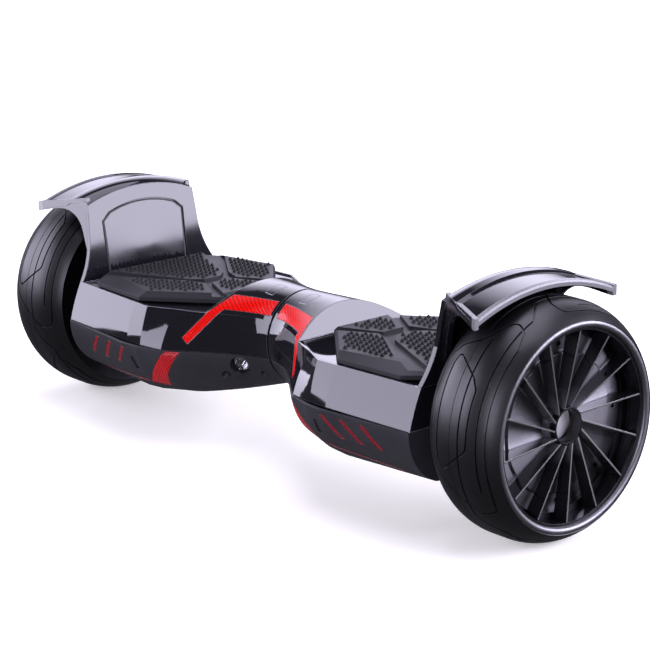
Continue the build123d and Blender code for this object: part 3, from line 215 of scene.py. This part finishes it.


class Nodes:
    """Short hand for building one material's node tree."""

    def __init__(self, name):
        self.material = bpy.data.materials.new(name)
        self.material.use_nodes = True
        self.tree = self.material.node_tree
        self.shader = self.tree.nodes["Principled BSDF"]
        self.place = self.tree.nodes.new("ShaderNodeTexCoord").outputs["Object"]
        self.facing = self.tree.nodes.new("ShaderNodeNewGeometry").outputs["Normal"]

    def add(self, kind, inputs=(), **settings):
        """New node, its inputs given as values or as sockets to link."""
        node = self.tree.nodes.new(kind)
        for key, value in settings.items():
            setattr(node, key, value)
        for key, value in dict(inputs).items():
            if isinstance(value, bpy.types.NodeSocket):
                self.tree.links.new(value, node.inputs[key])
            else:
                node.inputs[key].default_value = value
        return node

    def noise(self, scale, detail=4.0, vector=None):
        """Cloudy value from 0 to 1, its scale in waves to the metre."""
        return self.add("ShaderNodeTexNoise", {"Vector": vector or self.place, "Scale": scale,
                                               "Detail": detail}).outputs["Fac"]

    def spread(self, value, low, high, from_low=0.3, from_high=0.7):
        """Maps a value from one range to another and holds it at the ends."""
        return self.add("ShaderNodeMapRange", {"Value": value, "From Min": from_low, "From Max": from_high,
                                               "To Min": low, "To Max": high}).outputs["Result"]

    def blend(self, fac, first, second):
        """Mix of two colours."""
        node = self.add("ShaderNodeMix", data_type="RGBA")
        for key, value in ((0, fac), (6, first), (7, second)):
            if isinstance(value, bpy.types.NodeSocket):
                self.tree.links.new(value, node.inputs[key])
            else:
                node.inputs[key].default_value = (*value, 1) if key else value
        return node.outputs[2]

    def bump(self, height, strength, distance, normal=None):
        """Normal roughened by a height, on top of another normal if one is given."""
        node = self.add("ShaderNodeBump", {"Height": height, "Strength": strength, "Distance": distance})
        if normal is not None:
            self.tree.links.new(normal, node.inputs["Normal"])
        return node.outputs["Normal"]

    def rounded(self, radius):
        """Normal with edges rounded off, so that they catch the light."""
        return self.add("ShaderNodeBevel", {"Radius": radius}, samples=4).outputs["Normal"]

    def from_axle(self):
        """Distance from the wheels' axis."""
        centred = self.add("ShaderNodeVectorMath", {0: self.place, 1: (0.0, 0.0, AXLE_Z * MM)},
                           operation="SUBTRACT").outputs["Vector"]
        across = self.add("ShaderNodeVectorMath", {0: centred, 1: (0.0, 1.0, 1.0)},
                          operation="MULTIPLY").outputs["Vector"]
        return self.add("ShaderNodeVectorMath", {0: across}, operation="LENGTH").outputs["Value"]

    def math(self, operation, first, second=0.0, third=0.0):
        """Result of a Math node; the last two values aren't used by every operation."""
        return self.add("ShaderNodeMath", {0: first, 1: second, 2: third}, operation=operation).outputs[0]

    def edges(self, rounded, amount):
        """Up to the amount, where the rounded-off normal leaves the face's own."""
        agree = self.add("ShaderNodeVectorMath", {0: rounded, 1: self.facing}, operation="DOT_PRODUCT")
        return self.spread(agree.outputs["Value"], amount, 0.0, 0.86, 0.985)

    def set(self, **inputs):
        """Sets the shader's inputs, with _ for a space in their names, and returns the material."""
        for key, value in inputs.items():
            socket = self.shader.inputs[key.replace("_", " ")]
            if isinstance(value, bpy.types.NodeSocket):
                self.tree.links.new(value, socket)
            else:
                socket.default_value = (*value, 1) if isinstance(value, tuple) and len(value) == 3 else value
        return self.material


def gloss_black(name="gloss_black", tint=BLACK, rough=GLOSS, rim=None):
    """Polished black moulding: faint dust and swirl in the gloss, and edges painted a little paler as a
    painted highlight.

    The rim is (height, reach): edges near that height or beyond that reach get the strongest painted
    highlight.
    """
    n = Nodes(name)
    rounded = n.rounded(GLOSS_EDGE)
    wave = n.bump(n.noise(26, 2), 0.05, 0.0004, rounded)
    dusty = n.blend(n.spread(n.noise(900, 3), 0.0, 1.0, 0.62, 0.78), tint, tuple(c * 2.2 for c in tint))
    # how strongly sharp edges are painted pale, a painted highlight
    amount = EDGE_HIGHLIGHT
    if rim:
        sides = n.add("ShaderNodeSeparateXYZ", {0: n.place}).outputs
        level = n.math("COMPARE", sides["Z"], rim[0] * MM, 0.0022)
        end = n.math("GREATER_THAN", n.math("ABSOLUTE", sides["X"]), rim[1] * MM)
        most = n.math("MAXIMUM", level, end)
        amount = n.spread(most, EDGE_HIGHLIGHT, RIM_HIGHLIGHT, 0.0, 1.0)
    # sharp edges painted towards pale grey: a painted highlight
    colour = n.blend(n.edges(rounded, amount), dusty, PALE_EDGE)
    return n.set(Base_Color=colour, Roughness=n.spread(n.noise(18, 5), rough * 0.6, rough * 1.6), Normal=wave,
                 IOR=1.52, Specular_IOR_Level=0.5)


def fender_gloss(name, draft):
    """Gloss black fender with a satin outer lip, its corners above the crown painted paler as a painted
    highlight and, below its crown, shadowed seams at its corners.

    With draft, walls that face the front lean back a little, as moulded walls do.
    """
    n = Nodes(name)
    rounded = n.rounded(GLOSS_EDGE)
    sides = n.add("ShaderNodeSeparateXYZ", {0: n.place}).outputs
    outboard = n.math("ABSOLUTE", sides["X"])
    lip = n.spread(outboard, 0.0, 1.0, LIP_FROM * MM, (LIP_FROM + 1.0) * MM)
    crown = n.spread(sides["Z"], 0.0, 1.0, CROWN_FROM * MM, (CROWN_FROM + 6.0) * MM)
    corner = n.edges(rounded, 1.0)
    # corners above the crown painted towards pale grey: a painted highlight
    paler = n.math("MULTIPLY", n.math("MULTIPLY", corner, crown), EDGE_HIGHLIGHT)
    if draft:
        front = n.add("ShaderNodeSeparateXYZ", {0: n.facing}).outputs["Y"]
        rounded = n.add("ShaderNodeMix", {0: n.spread(front, 1.0, 0.0, -0.85, -0.7), 4: rounded, 5: DRAFT},
                        data_type="VECTOR").outputs[1]
    colour = n.blend(paler, BLACK, PALE_EDGE)
    colour = n.blend(lip, colour, (0.13, 0.13, 0.135))
    seam = n.math("MULTIPLY", corner, n.spread(crown, 1.0, 0.0, 0.0, 1.0))
    rough = n.blend(lip, (GLOSS, GLOSS, GLOSS), (0.27, 0.27, 0.27))
    if draft:
        rough = n.blend(seam, rough, (0.9, 0.9, 0.9))
    return n.set(Base_Color=colour, Roughness=rough, IOR=1.52,
                 Normal=n.bump(n.noise(26, 2), 0.05, 0.0004, rounded))


def grained(name, tint, rough, grain=1400, depth=0.00006, edge=0.0006, worn=1.5, sheen=0.5):
    """Textured matte plastic or rubber: fine grain, uneven sheen, edges a little lighter."""
    n = Nodes(name)
    fine = n.noise(grain, 4)
    cloud = n.noise(14, 5)
    normal = n.bump(fine, 0.35, depth, n.rounded(edge))
    colour = n.blend(n.spread(cloud, 0.0, 1.0), tint, tuple(min(1.0, c * worn) for c in tint))
    return n.set(Base_Color=colour, Roughness=n.spread(cloud, rough * 0.9, min(1.0, rough * 1.12)),
                 Normal=normal, Specular_IOR_Level=sheen)


def metal(name, tint, rough):
    """Turned or cast metal with fine uneven scratches."""
    n = Nodes(name)
    streak = n.add("ShaderNodeMapping", {"Vector": n.place, "Scale": (1.0, 0.12, 1.0)}).outputs["Vector"]
    fine = n.noise(1600, 4, streak)
    normal = n.bump(fine, 0.2, 0.00004, n.rounded(0.0003))
    colour = n.blend(n.spread(n.noise(40, 4), 0.0, 1.0), tint, tuple(c * 0.82 for c in tint))
    return n.set(Base_Color=colour, Metallic=1.0, Roughness=n.spread(fine, rough * 0.75, rough * 1.3),
                 Normal=normal)


def red_lens(name, tint, glow, cell=2.9, sheen=0.5, coat=0.35):
    """Red lens: a slanted lattice of small cells under a glossy face, lit from behind if it glows; a
    reflector, which is no lamp, gets its faint glow as painted light.

    The cell is the width of one cell in millimetres.
    """
    n = Nodes(name)
    axes = n.add("ShaderNodeSeparateXYZ", {0: n.place}).outputs
    facing = n.add("ShaderNodeCombineXYZ", {"X": axes["X"], "Y": axes["Z"]}).outputs[0]
    turned = n.add("ShaderNodeMapping", {"Vector": facing, "Rotation": (0.0, 0.0, math.radians(35)),
                                         "Scale": (1.0, 1.35, 1.0)})
    lattice = n.add("ShaderNodeTexVoronoi", {"Vector": turned.outputs["Vector"], "Scale": 1000.0 / cell,
                                             "Randomness": 0.05},
                    feature="DISTANCE_TO_EDGE", voronoi_dimensions="2D").outputs["Distance"]
    rib = n.spread(lattice, 0.0, 1.0, 0.03, 0.26)
    colour = n.blend(rib, tuple(c * 0.35 for c in tint), tint)
    n.set(Base_Color=colour, Roughness=0.16, Normal=n.bump(rib, 0.6, 0.00025, n.rounded(0.0006)),
          Specular_IOR_Level=sheen, Coat_Weight=coat, Coat_Roughness=0.05)
    if glow:
        n.set(Emission_Color=n.blend(rib, (0.42, 0.0, 0.0), (1.0, 0.006, 0.001)), Emission_Strength=glow)
    return n.material


def turned_metal(name, tint, rough):
    """Disc faced off on a lathe: its fine rings draw the light out into a bow across the axle.

    Its middle, seen down the hub tube, is paler.
    """
    n = Nodes(name)
    tube = n.spread(n.from_axle(), 1.0, 0.0, TUBE_R * MM, (TUBE_R + 0.4) * MM)
    rings = n.add("ShaderNodeTangent", direction_type="RADIAL", axis="X").outputs["Tangent"]
    fine = n.noise(1500, 4)
    colour = n.blend(n.spread(n.noise(40, 4), 0.0, 1.0), tint, tuple(c * 0.8 for c in tint))
    n.set(Base_Color=n.blend(tube, colour, (0.40, 0.39, 0.41)), Metallic=n.spread(tube, 1.0, 0.0, 0.0, 1.0),
          Roughness=n.spread(fine, rough * 0.8, rough * 1.2), Anisotropic=0.65,
          Tangent=rings, Normal=n.bump(fine, 0.15, 0.00003, n.rounded(0.0004)))
    return n.material


def cover_finish():
    """Black wheel cover whose outward-facing edges are bare brushed metal."""
    n = Nodes("gloss_black_cover")
    outward = n.add("ShaderNodeSeparateXYZ", {0: n.facing}).outputs["X"]
    outward = n.math("ABSOLUTE", outward)
    radius = n.from_axle()
    hub_side = n.spread(radius, 0.0, 1.0, BARE_FROM * MM, (BARE_FROM + 0.8) * MM)
    rim_side = n.spread(radius, 1.0, 0.0, (BARE_TO - 0.8) * MM, BARE_TO * MM)
    spokes = n.math("MULTIPLY", hub_side, rim_side)
    bare = n.math("MULTIPLY", n.spread(outward, 0.0, 1.0, 0.86, 0.95), spokes)
    roots = n.math("MULTIPLY", n.spread(radius, 0.5, 0.0, BARE_FROM * MM, ROOT_TO * MM), hub_side)
    black = n.blend(roots, (0.006, 0.006, 0.007), (0.14, 0.14, 0.15))
    colour = n.blend(bare, black, BARE_METAL)
    rough = n.blend(bare, (0.10, 0.10, 0.10), (0.36, 0.36, 0.36))
    bumpy = n.bump(n.noise(700, 4), 0.12, 0.00003, n.rounded(0.0004))
    return n.set(Base_Color=colour, Metallic=bare, Roughness=rough, Normal=bumpy,
                 Coat_Weight=0.2)


def paint(node, material):
    """Gives a CAD node a finished material."""
    mesh = frame["nodes"][node].data
    mesh.materials.clear()
    mesh.materials.append(material)


def dress(piece, material, body, *nodes, slot=None):
    """Finishes a new piece: its material, the body it rides on and the nodes it stands for."""
    piece.data.materials.append(material)
    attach(piece, body)
    if nodes:
        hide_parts(*nodes)
    return piece


slot_of = {s["node"]: s["material_slot"] for s in frame["record"]["subparts"]}

FINISHES = {
    "gloss_black_shell": gloss_black(rim=(DECK_Z, SHELL_END_X)),
    "left_fender": fender_gloss("gloss_black_left_fender", True),
    "right_fender": fender_gloss("gloss_black_right_fender", False),
    "gloss_black_panel": gloss_black("gloss_black_panel"),
    "gloss_black_cover": cover_finish(),
    "charcoal_shell": grained("charcoal_shell", (0.016, 0.016, 0.019), 0.42),
    "red_light_lens": red_lens("red_light_lens", (0.50, 0.002, 0.001), 0.44, sheen=0.25, coat=0.1),
    # the reflector is no lamp: its faint glow is painted light
    "dark_red_reflector": red_lens("dark_red_reflector", (0.46, 0.008, 0.012), 0.04, 2.4),
    "slash_lens": red_lens("slash_lens", (0.24, 0.006, 0.014), 0.0, 2.0),
    "dark_red_trim": red_lens("dark_red_trim", (0.30, 0.006, 0.012), 0.0, 2.0),
    "smoked_window": gloss_black("smoked_window", (0.012, 0.012, 0.014), 0.12),
    "pad_rubber": grained("pad_rubber", (0.016, 0.0155, 0.017), 0.62, 1100, 0.00009, 0.0010, 1.35, 0.32),
    # the studs are pad rubber; this darker copy of it paints shade on the studs
    "pad_rubber_shaded": grained("pad_rubber_shaded", (0.003, 0.003, 0.0034), 0.55, 1100, 0.00009, 0.0004, 1.5, 0.25),
    "tyre_rubber": grained("tyre_rubber", (0.0018, 0.0017, 0.0022), 0.38, 1600, 0.00003, 0.0005,
                            sheen=0.5),
    "motor_alloy": metal("motor_alloy", (0.045, 0.045, 0.05), 0.4),
    "motor_grey": turned_metal("motor_grey", (0.24, 0.235, 0.25), 0.38),
    "magnet_nickel": metal("magnet_nickel", (0.6, 0.6, 0.62), 0.2),
    "bearing_steel": metal("bearing_steel", (0.6, 0.6, 0.62), 0.2),
    "polished_rim": metal("polished_rim", (0.20, 0.196, 0.204), 0.44),
    "axle_steel": metal("axle_steel", (0.5, 0.5, 0.52), 0.3),
    "stator_steel": metal("stator_steel", (0.3, 0.28, 0.26), 0.4),
    "cast_alloy": metal("cast_alloy", (0.5, 0.5, 0.52), 0.45),
    "circuit_board": grained("circuit_board", (0.01, 0.09, 0.05), 0.4, 500),
    "battery_wrap": grained("battery_wrap", (0.02, 0.06, 0.3), 0.35, 500),
    "battery_case_plastic": grained("battery_case_plastic", (0.03, 0.03, 0.035), 0.5),
    "bushing_brass": metal("bushing_brass", (0.6, 0.42, 0.18), 0.35),
    "seal_rubber": grained("seal_rubber", (0.008, 0.008, 0.009), 0.6),
    "harness_rubber": grained("harness_rubber", (0.02, 0.02, 0.02), 0.5),
    "socket_chrome": metal("socket_chrome", (0.8, 0.8, 0.82), 0.08),
    "button_plastic": grained("button_plastic", (0.03, 0.03, 0.034), 0.4),
    "screw_steel": metal("screw_steel", (0.08, 0.08, 0.085), 0.35),
}
for node_name, slot_name in slot_of.items():
    finish = "slash_lens" if "slash" in node_name else slot_name
    paint(node_name, FINISHES.get(node_name, FINISHES[finish]))

# ------------------------------------------------------------------ tyres, in millimetres
TYRE_R = 108.0
SHOULDER_R = 45.8
CROWN_FLAT = 8.2
TYRE_EDGE = 41.2                     # axial half-width where the tread meets the rim, at radius 94
RIM_R = 94.0
GROOVE_WIDTH, GROOVE_DEPTH = 1.6, 1.8
PARTING_WIDTH, PARTING_DEPTH = 0.55, 0.35
TREAD_UNITS = 3                      # times the pattern repeats round the tyre
COLUMNS, ROWS = 168, 26              # faces round the tyre and across it
TREAD_TURN = {"left": -43.0, "right": 0.0}      # how far each tread is turned on, round the crown
ROUND_TRIP = 2 * math.pi * TYRE_R
UNIT = ROUND_TRIP / TREAD_UNITS


def lateral(u):
    """Distance over the tread, from its middle line, for an axial offset."""
    a = abs(u)
    over = a if a <= CROWN_FLAT else CROWN_FLAT + SHOULDER_R * math.asin((a - CROWN_FLAT) / SHOULDER_R)
    return math.copysign(over, u)


def tread_point(along, over, depth=0.0):
    """Place on the right tyre, in millimetres, of a point of the flat tread, sunk by the depth."""
    a = abs(over)
    lean = 0.0 if a <= CROWN_FLAT else (a - CROWN_FLAT) / SHOULDER_R
    if lean:
        u = CROWN_FLAT + (SHOULDER_R - depth) * math.sin(lean)
        radius = TYRE_R - SHOULDER_R + (SHOULDER_R - depth) * math.cos(lean)
    else:
        u, radius = a, TYRE_R - depth
    turn = along / TYRE_R
    return (math.copysign(u, over), -radius * math.cos(turn), -radius * math.sin(turn))


def rounded_path(corners, radius, closed):
    """Polyline through corners with each one rounded off, dense enough for a thin groove."""
    points = []
    count = len(corners)
    for i, corner in enumerate(corners):
        here = np.array(corner, float)
        if not closed and i in (0, count - 1):
            points.append(here)
            continue
        before, after = np.array(corners[i - 1], float), np.array(corners[(i + 1) % count], float)
        to_before = (before - here) / np.linalg.norm(before - here)
        to_after = (after - here) / np.linalg.norm(after - here)
        half = 0.5 * math.acos(max(-1.0, min(1.0, float(to_before @ to_after))))
        reach = min(radius / math.tan(half), 0.45 * np.linalg.norm(before - here),
                    0.45 * np.linalg.norm(after - here))
        true_radius = reach * math.tan(half)
        centre = here + (to_before + to_after) / np.linalg.norm(to_before + to_after) * (
            true_radius / math.sin(half))
        start, end = here + to_before * reach - centre, here + to_after * reach - centre
        first = math.atan2(start[1], start[0])
        sweep = (math.atan2(end[1], end[0]) - first + math.pi) % (2 * math.pi) - math.pi
        steps = max(3, int(abs(sweep) * true_radius / 1.6))
        points += [centre + true_radius * np.array((math.cos(first + sweep * k / steps),
                                                    math.sin(first + sweep * k / steps)))
                   for k in range(steps + 1)]
    if closed:
        points.append(points[0])
    dense = [points[0]]
    for p in points[1:]:
        gap = np.linalg.norm(p - dense[-1])
        pieces = max(1, int(gap / 4.0))
        start = dense[-1]
        dense += [start + (p - start) * k / pieces for k in range(1, pieces + 1)]
    return np.array(dense)


def tread_lines():
    """Grooves of the whole tread as (path, width, depth), flat, in millimetres."""
    shapes = (
        # large slanted loop, small slanted loop, and the long line that steps between them
        ([(-94, -4), (-86, -20), (-73, -32), (6, -32), (32, -22), (52, -2), (66, 17), (66, 31), (48, 32.5),
          (-98, 32), (-114, 27), (-122, 16)], 8, True),
        ([(-79, -17), (-68, -20), (17, -20), (27, -15), (3, 15), (-50, 16), (-60, 9)], 7, True),
        ([(-99, 6), (72, 6), (95, 24), (UNIT + 41, 25)], 9, False),
    )
    lines = []
    for unit in range(TREAD_UNITS):
        for corners, radius, closed in shapes:
            path = rounded_path([(along, lateral(u)) for along, u in corners], radius, closed)
            lines.append((path + np.array((unit * UNIT, 0.0)), closed, GROOVE_WIDTH, GROOVE_DEPTH))
    parting = np.array([(ROUND_TRIP * i / COLUMNS, -4.0) for i in range(-2, COLUMNS + 3)])
    lines.append((parting, False, PARTING_WIDTH, PARTING_DEPTH))
    return lines


def distance_to_path(points, path):
    """Least distance of each point to a polyline."""
    best = np.full(len(points), 1e9)
    for a, b in zip(path[:-1], path[1:]):
        d = b - a
        t = np.clip(((points - a) @ d) / max(float(d @ d), 1e-12), 0, 1)
        best = np.minimum(best, np.linalg.norm(points - (a + t[:, None] * d), axis=1))
    return best


def offset_path(path, closed, distance):
    """Path beside a path, at a signed distance to its left."""
    if closed:
        ahead = np.roll(path[:-1], -1, axis=0)
        behind = np.roll(path[:-1], 1, axis=0)
        base = path[:-1]
    else:
        base = path
        ahead = np.vstack((path[1:], path[-1:]))
        behind = np.vstack((path[:1], path[:-1]))
    along = ahead - behind
    along /= np.linalg.norm(along, axis=1)[:, None]
    return base + distance * np.column_stack((-along[:, 1], along[:, 0]))


def build_tread():
    """The flat tread, triangulated round its grooves: points, depths and triangles."""
    edge = lateral(TYRE_EDGE)
    lines = []
    for path, closed, width, depth in tread_lines():
        for shift in (-ROUND_TRIP, 0.0, ROUND_TRIP):
            if shift and width == PARTING_WIDTH:
                continue
            moved = path + np.array((shift, 0.0))
            if moved[:, 0].max() > 0 and moved[:, 0].min() < ROUND_TRIP:
                lines.append((moved, closed, width, depth))
    points, edges = [], []

    def chain(run, closed):
        first = len(points)
        points.extend(map(tuple, run))
        edges.extend((first + k, first + k + 1) for k in range(len(run) - 1))
        if closed:
            edges.append((len(points) - 1, first))

    for path, closed, width, depth in lines:
        if closed:
            chain(offset_path(path, True, width / 2), True)
            chain(offset_path(path, True, -width / 2), True)
        else:
            chain(np.vstack((offset_path(path, False, width / 2),
                             offset_path(path, False, -width / 2)[::-1])), True)
    grid = np.array([((i + 0.5 * (j % 2)) * ROUND_TRIP / COLUMNS, edge * (2 * j / ROWS - 1))
                     for i in range(COLUMNS) for j in range(1, ROWS)])
    clear = np.full(len(grid), 1e9)
    for path, closed, width, depth in lines:
        clear = np.minimum(clear, distance_to_path(grid, path) - width / 2)
    grid = grid[(clear > 0.9) & (grid[:, 0] > 1.0) & (grid[:, 0] < ROUND_TRIP - 1.0)]
    points.extend(map(tuple, grid))
    for x in (0.0, ROUND_TRIP):
        chain(np.array([(x, edge * (2 * j / ROWS - 1)) for j in range(ROWS + 1)]), False)
    for y in (-edge, edge):
        chain(np.array([(ROUND_TRIP * i / COLUMNS, y) for i in range(COLUMNS + 1)]), False)
    flat, _, triangles, *_ = delaunay_2d_cdt([Vector(p) for p in points], edges, [], 0, 1e-4)
    flat = np.array([tuple(p) for p in flat])
    triangles = [list(t) for t in triangles]
    middles = np.array([flat[t].mean(axis=0) for t in triangles])
    inside = (middles[:, 0] > 0) & (middles[:, 0] < ROUND_TRIP) & (abs(middles[:, 1]) < edge)
    sunk = np.zeros(len(triangles))
    for path, closed, width, depth in lines:
        near = distance_to_path(middles, path) < width / 2 - 1e-3
        sunk[near] = np.maximum(sunk[near], depth)
    triangles = [t for t, keep in zip(triangles, inside) if keep]
    return flat, triangles, sunk[inside]


def build_tyre(name, shift_x, phase):
    """Tyre with its tread turned on by the phase, in millimetres round the crown."""
    flat, triangles, sunk = tread
    vertices, index, faces = [], {}, []

    def corner(i, depth):
        along = flat[i][0] % ROUND_TRIP
        if ROUND_TRIP - along < 1e-3:
            along = 0.0
        key = (round(along, 3), round(float(flat[i][1]), 3), depth)
        if key not in index:
            index[key] = len(vertices)
            x, y, z = tread_point(along + phase, flat[i][1], depth)
            vertices.append((x + shift_x, y, z + AXLE_Z))
        return index[key]

    owners = {}
    for t, depth in zip(triangles, sunk):
        faces.append([corner(i, depth) for i in t])
        for a, b in zip(t, t[1:] + t[:1]):
            owners.setdefault(frozenset((a, b)), []).append((a, b, depth))
    for pair in owners.values():
        if len(pair) == 2 and pair[0][2] != pair[1][2]:
            a, b, depth = min(pair, key=lambda p: p[2])
            deep = max(pair, key=lambda p: p[2])[2]
            faces.append([corner(b, depth), corner(a, depth), corner(a, deep), corner(b, deep)])
    # bead, from each edge of the tread to the rim
    for side in (-1, 1):
        rings = [(side * TYRE_EDGE, RIM_R), (side * (TYRE_EDGE - 0.5), RIM_R - 0.6),
                 (side * (TYRE_EDGE - 7.5), RIM_R - 0.6), (side * (TYRE_EDGE - 7.8), RIM_R - 8)]
        first = len(vertices)
        for x, r in rings:
            for i in range(COLUMNS):
                turn = 2 * math.pi * i / COLUMNS
                vertices.append((x + shift_x, -r * math.cos(turn), AXLE_Z - r * math.sin(turn)))
        for ring in range(len(rings) - 1):
            for i in range(COLUMNS):
                a, b = first + ring * COLUMNS + i, first + ring * COLUMNS + (i + 1) % COLUMNS
                quad = [a, b, b + COLUMNS, a + COLUMNS]
                faces.append(quad if side > 0 else quad[::-1])
    piece = mesh_object(name, vertices, faces, 40)
    merge = piece.modifiers.new("merge", "WELD")
    merge.merge_threshold = 2e-5
    apply_modifiers(piece)
    return piece


tread = build_tread()
for side_name, sign in SIDES:
    tyre = build_tyre(side_name + "_tyre_tread", sign * WHEEL_X, TREAD_TURN[side_name])
    dress(tyre, FINISHES["tyre_rubber"], side_name + "_wheel", side_name + "_tyre")

# ------------------------------------------------------------------ inspection panels in the fender walls
PANEL_GAP = 0.966                    # the panel's face is this much smaller than its opening
SHADE_SHEET_SINK = 0.0004                 # metres, offset of the dark sheet that paints shade in the gap round the panel's face


def panel_copy(name, node, shrink, shift):
    """Copy of a CAD node, drawn in towards its middle and moved across the body."""
    piece = bpy.data.objects.new(name, frame["nodes"][node].data.copy())
    piece.data.name = name
    bpy.context.scene.collection.objects.link(piece)
    low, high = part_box(node)
    middle = [(a + b) / 2 for a, b in zip(low, high)]
    for corner in piece.data.vertices:
        corner.co.y = middle[1] + (corner.co.y - middle[1]) * shrink
        corner.co.z = middle[2] + (corner.co.z - middle[2]) * shrink
        corner.co.x += shift
    piece.data.materials.clear()
    return piece


for side_name, sign in SIDES:
    node = side_name + "_arch_panel"
    dress(panel_copy(node + "_face", node, PANEL_GAP, 0.0), FINISHES["gloss_black_panel"],
          side_name + "_half", node)
    # a dark rubber sheet behind the gap round the face paints the shade in that groove
    dress(panel_copy(node + "_shade_sheet", node, 1.0, sign * SHADE_SHEET_SINK), FINISHES["seal_rubber"],
          side_name + "_half", slot="seal_rubber")

# ------------------------------------------------------------------ grip studs on the foot pads
PAD_TOP_Z = 149.0
# outlines of the pad's top and of the channel across its rear half, in millimetres
PAD_TOP_EDGE = [(85.0, 31.5), (144.0, 81.0), (209.0, 67.5), (236.0, 58.0)]
PAD_CHANNEL = [(68, 24), (84, 32), (127, 13), (127, -1), (143, -1), (143, 10), (153, 22), (228, 56.5),
               (256, 69), (256, 84), (208, 67), (151, 27), (128, 19), (91, 41), (68, 33)]
STUD_FROM_X, STUD_ROWS, STUD_COLUMNS = 85.5, range(-11, 12), range(21)
STUD_PITCH_X, STUD_PITCH_Y = 7.4, 7.5
STUD_BASE, STUD_HEIGHT = 2.1, 3.0
STUD_SIDES = 10
STUD_MARGIN = 4.4                    # least distance from a stud's middle to a block's edge


def edge_distance(point, outline):
    """Distance of a point to a closed outline."""
    return distance_to_path(np.array([point]), np.array(outline + outline[:1], float))[0]


def is_inside(point, outline):
    """Whether a point lies inside a closed outline."""
    x, y = point
    odd = False
    for (ax, ay), (bx, by) in zip(outline, outline[1:] + outline[:1]):
        if (ay > y) != (by > y) and x < ax + (y - ay) / (by - ay) * (bx - ax):
            odd = not odd
    return odd


def stud_places():
    """Middle of every stud on the right-hand pad, in millimetres."""
    outline = PAD_TOP_EDGE + [(x, -y) for x, y in reversed(PAD_TOP_EDGE)]
    channels = [PAD_CHANNEL, [(x, -y) for x, y in PAD_CHANNEL]]
    places = []
    for row in STUD_ROWS:
        for column in STUD_COLUMNS:
            point = (STUD_FROM_X + STUD_PITCH_X * (column + 0.5 * (row % 2)), STUD_PITCH_Y * row)
            if not is_inside(point, outline) or edge_distance(point, outline) < STUD_MARGIN:
                continue
            if any(is_inside(point, c) or edge_distance(point, c) < STUD_MARGIN - 0.6 for c in channels):
                continue
            places.append(point)
    return places


def build_studs(name, sign):
    """Pointed rubber studs: a flared foot, a cone and a blunt tip."""
    profile = ((STUD_BASE + 0.55, -0.15), (STUD_BASE, 0.35), (1.15, 1.9), (0.62, 2.75),
               (0.28, STUD_HEIGHT))
    around = STUD_SIDES
    vertices, faces = [], []
    for x, y in stud_places():
        first = len(vertices)
        for radius, height in profile:
            for k in range(around):
                turn = 2 * math.pi * k / around
                vertices.append((sign * x + radius * math.cos(turn), y + radius * math.sin(turn),
                                 PAD_TOP_Z + height))
        for ring in range(len(profile) - 1):
            for k in range(around):
                a, b = first + ring * around + k, first + ring * around + (k + 1) % around
                faces.append([a, b, b + around, a + around])
        faces.append(list(range(first + (len(profile) - 1) * around, first + len(profile) * around)))
        faces.append(list(range(first, first + around))[::-1])
    return mesh_object(name, vertices, faces, 35)


# studs painted darker than the pad they stand on, as painted shade
for side_name, sign in SIDES:
    dress(build_studs(side_name + "_pad_studs", sign), FINISHES["pad_rubber_shaded"], side_name + "_pad",
          slot="pad_rubber")

# ------------------------------------------------------------------ stage
FLOOR_SIZE = 12                      # metres
FLOOR_LIFT = 0.28                    # how much paler the floor looks than the light on it makes it
FADE_FROM, FADE_TO = 1.2, 2.6        # metres from the middle, where the floor fades into the backdrop

set_camera()
set_studio()
bpy.ops.mesh.primitive_plane_add(size=FLOOR_SIZE, location=(0, 0, 0))
floor = bpy.context.object
floor.name = "floor"
floor.visible_glossy = False
floor_nodes = Nodes("floor")
reach = floor_nodes.add("ShaderNodeVectorMath", {0: floor_nodes.place}, operation="LENGTH").outputs["Value"]
seen_fade = floor_nodes.spread(reach, 1.0, 0.0, FADE_FROM, FADE_TO)
camera_ray = floor_nodes.add("ShaderNodeLightPath").outputs["Is Camera Ray"]
lift = floor_nodes.math("MULTIPLY", camera_ray, FLOOR_LIFT)
floor_nodes.set(Base_Color=(0.965, 0.945, 0.87), Roughness=0.9, Specular_IOR_Level=0.0,
                Emission_Color=(1.0, 1.0, 1.0), Emission_Strength=lift, Alpha=seen_fade,
                Normal=floor_nodes.bump(floor_nodes.noise(60, 3), 0.05, 0.0005))
floor.data.materials.append(floor_nodes.material)
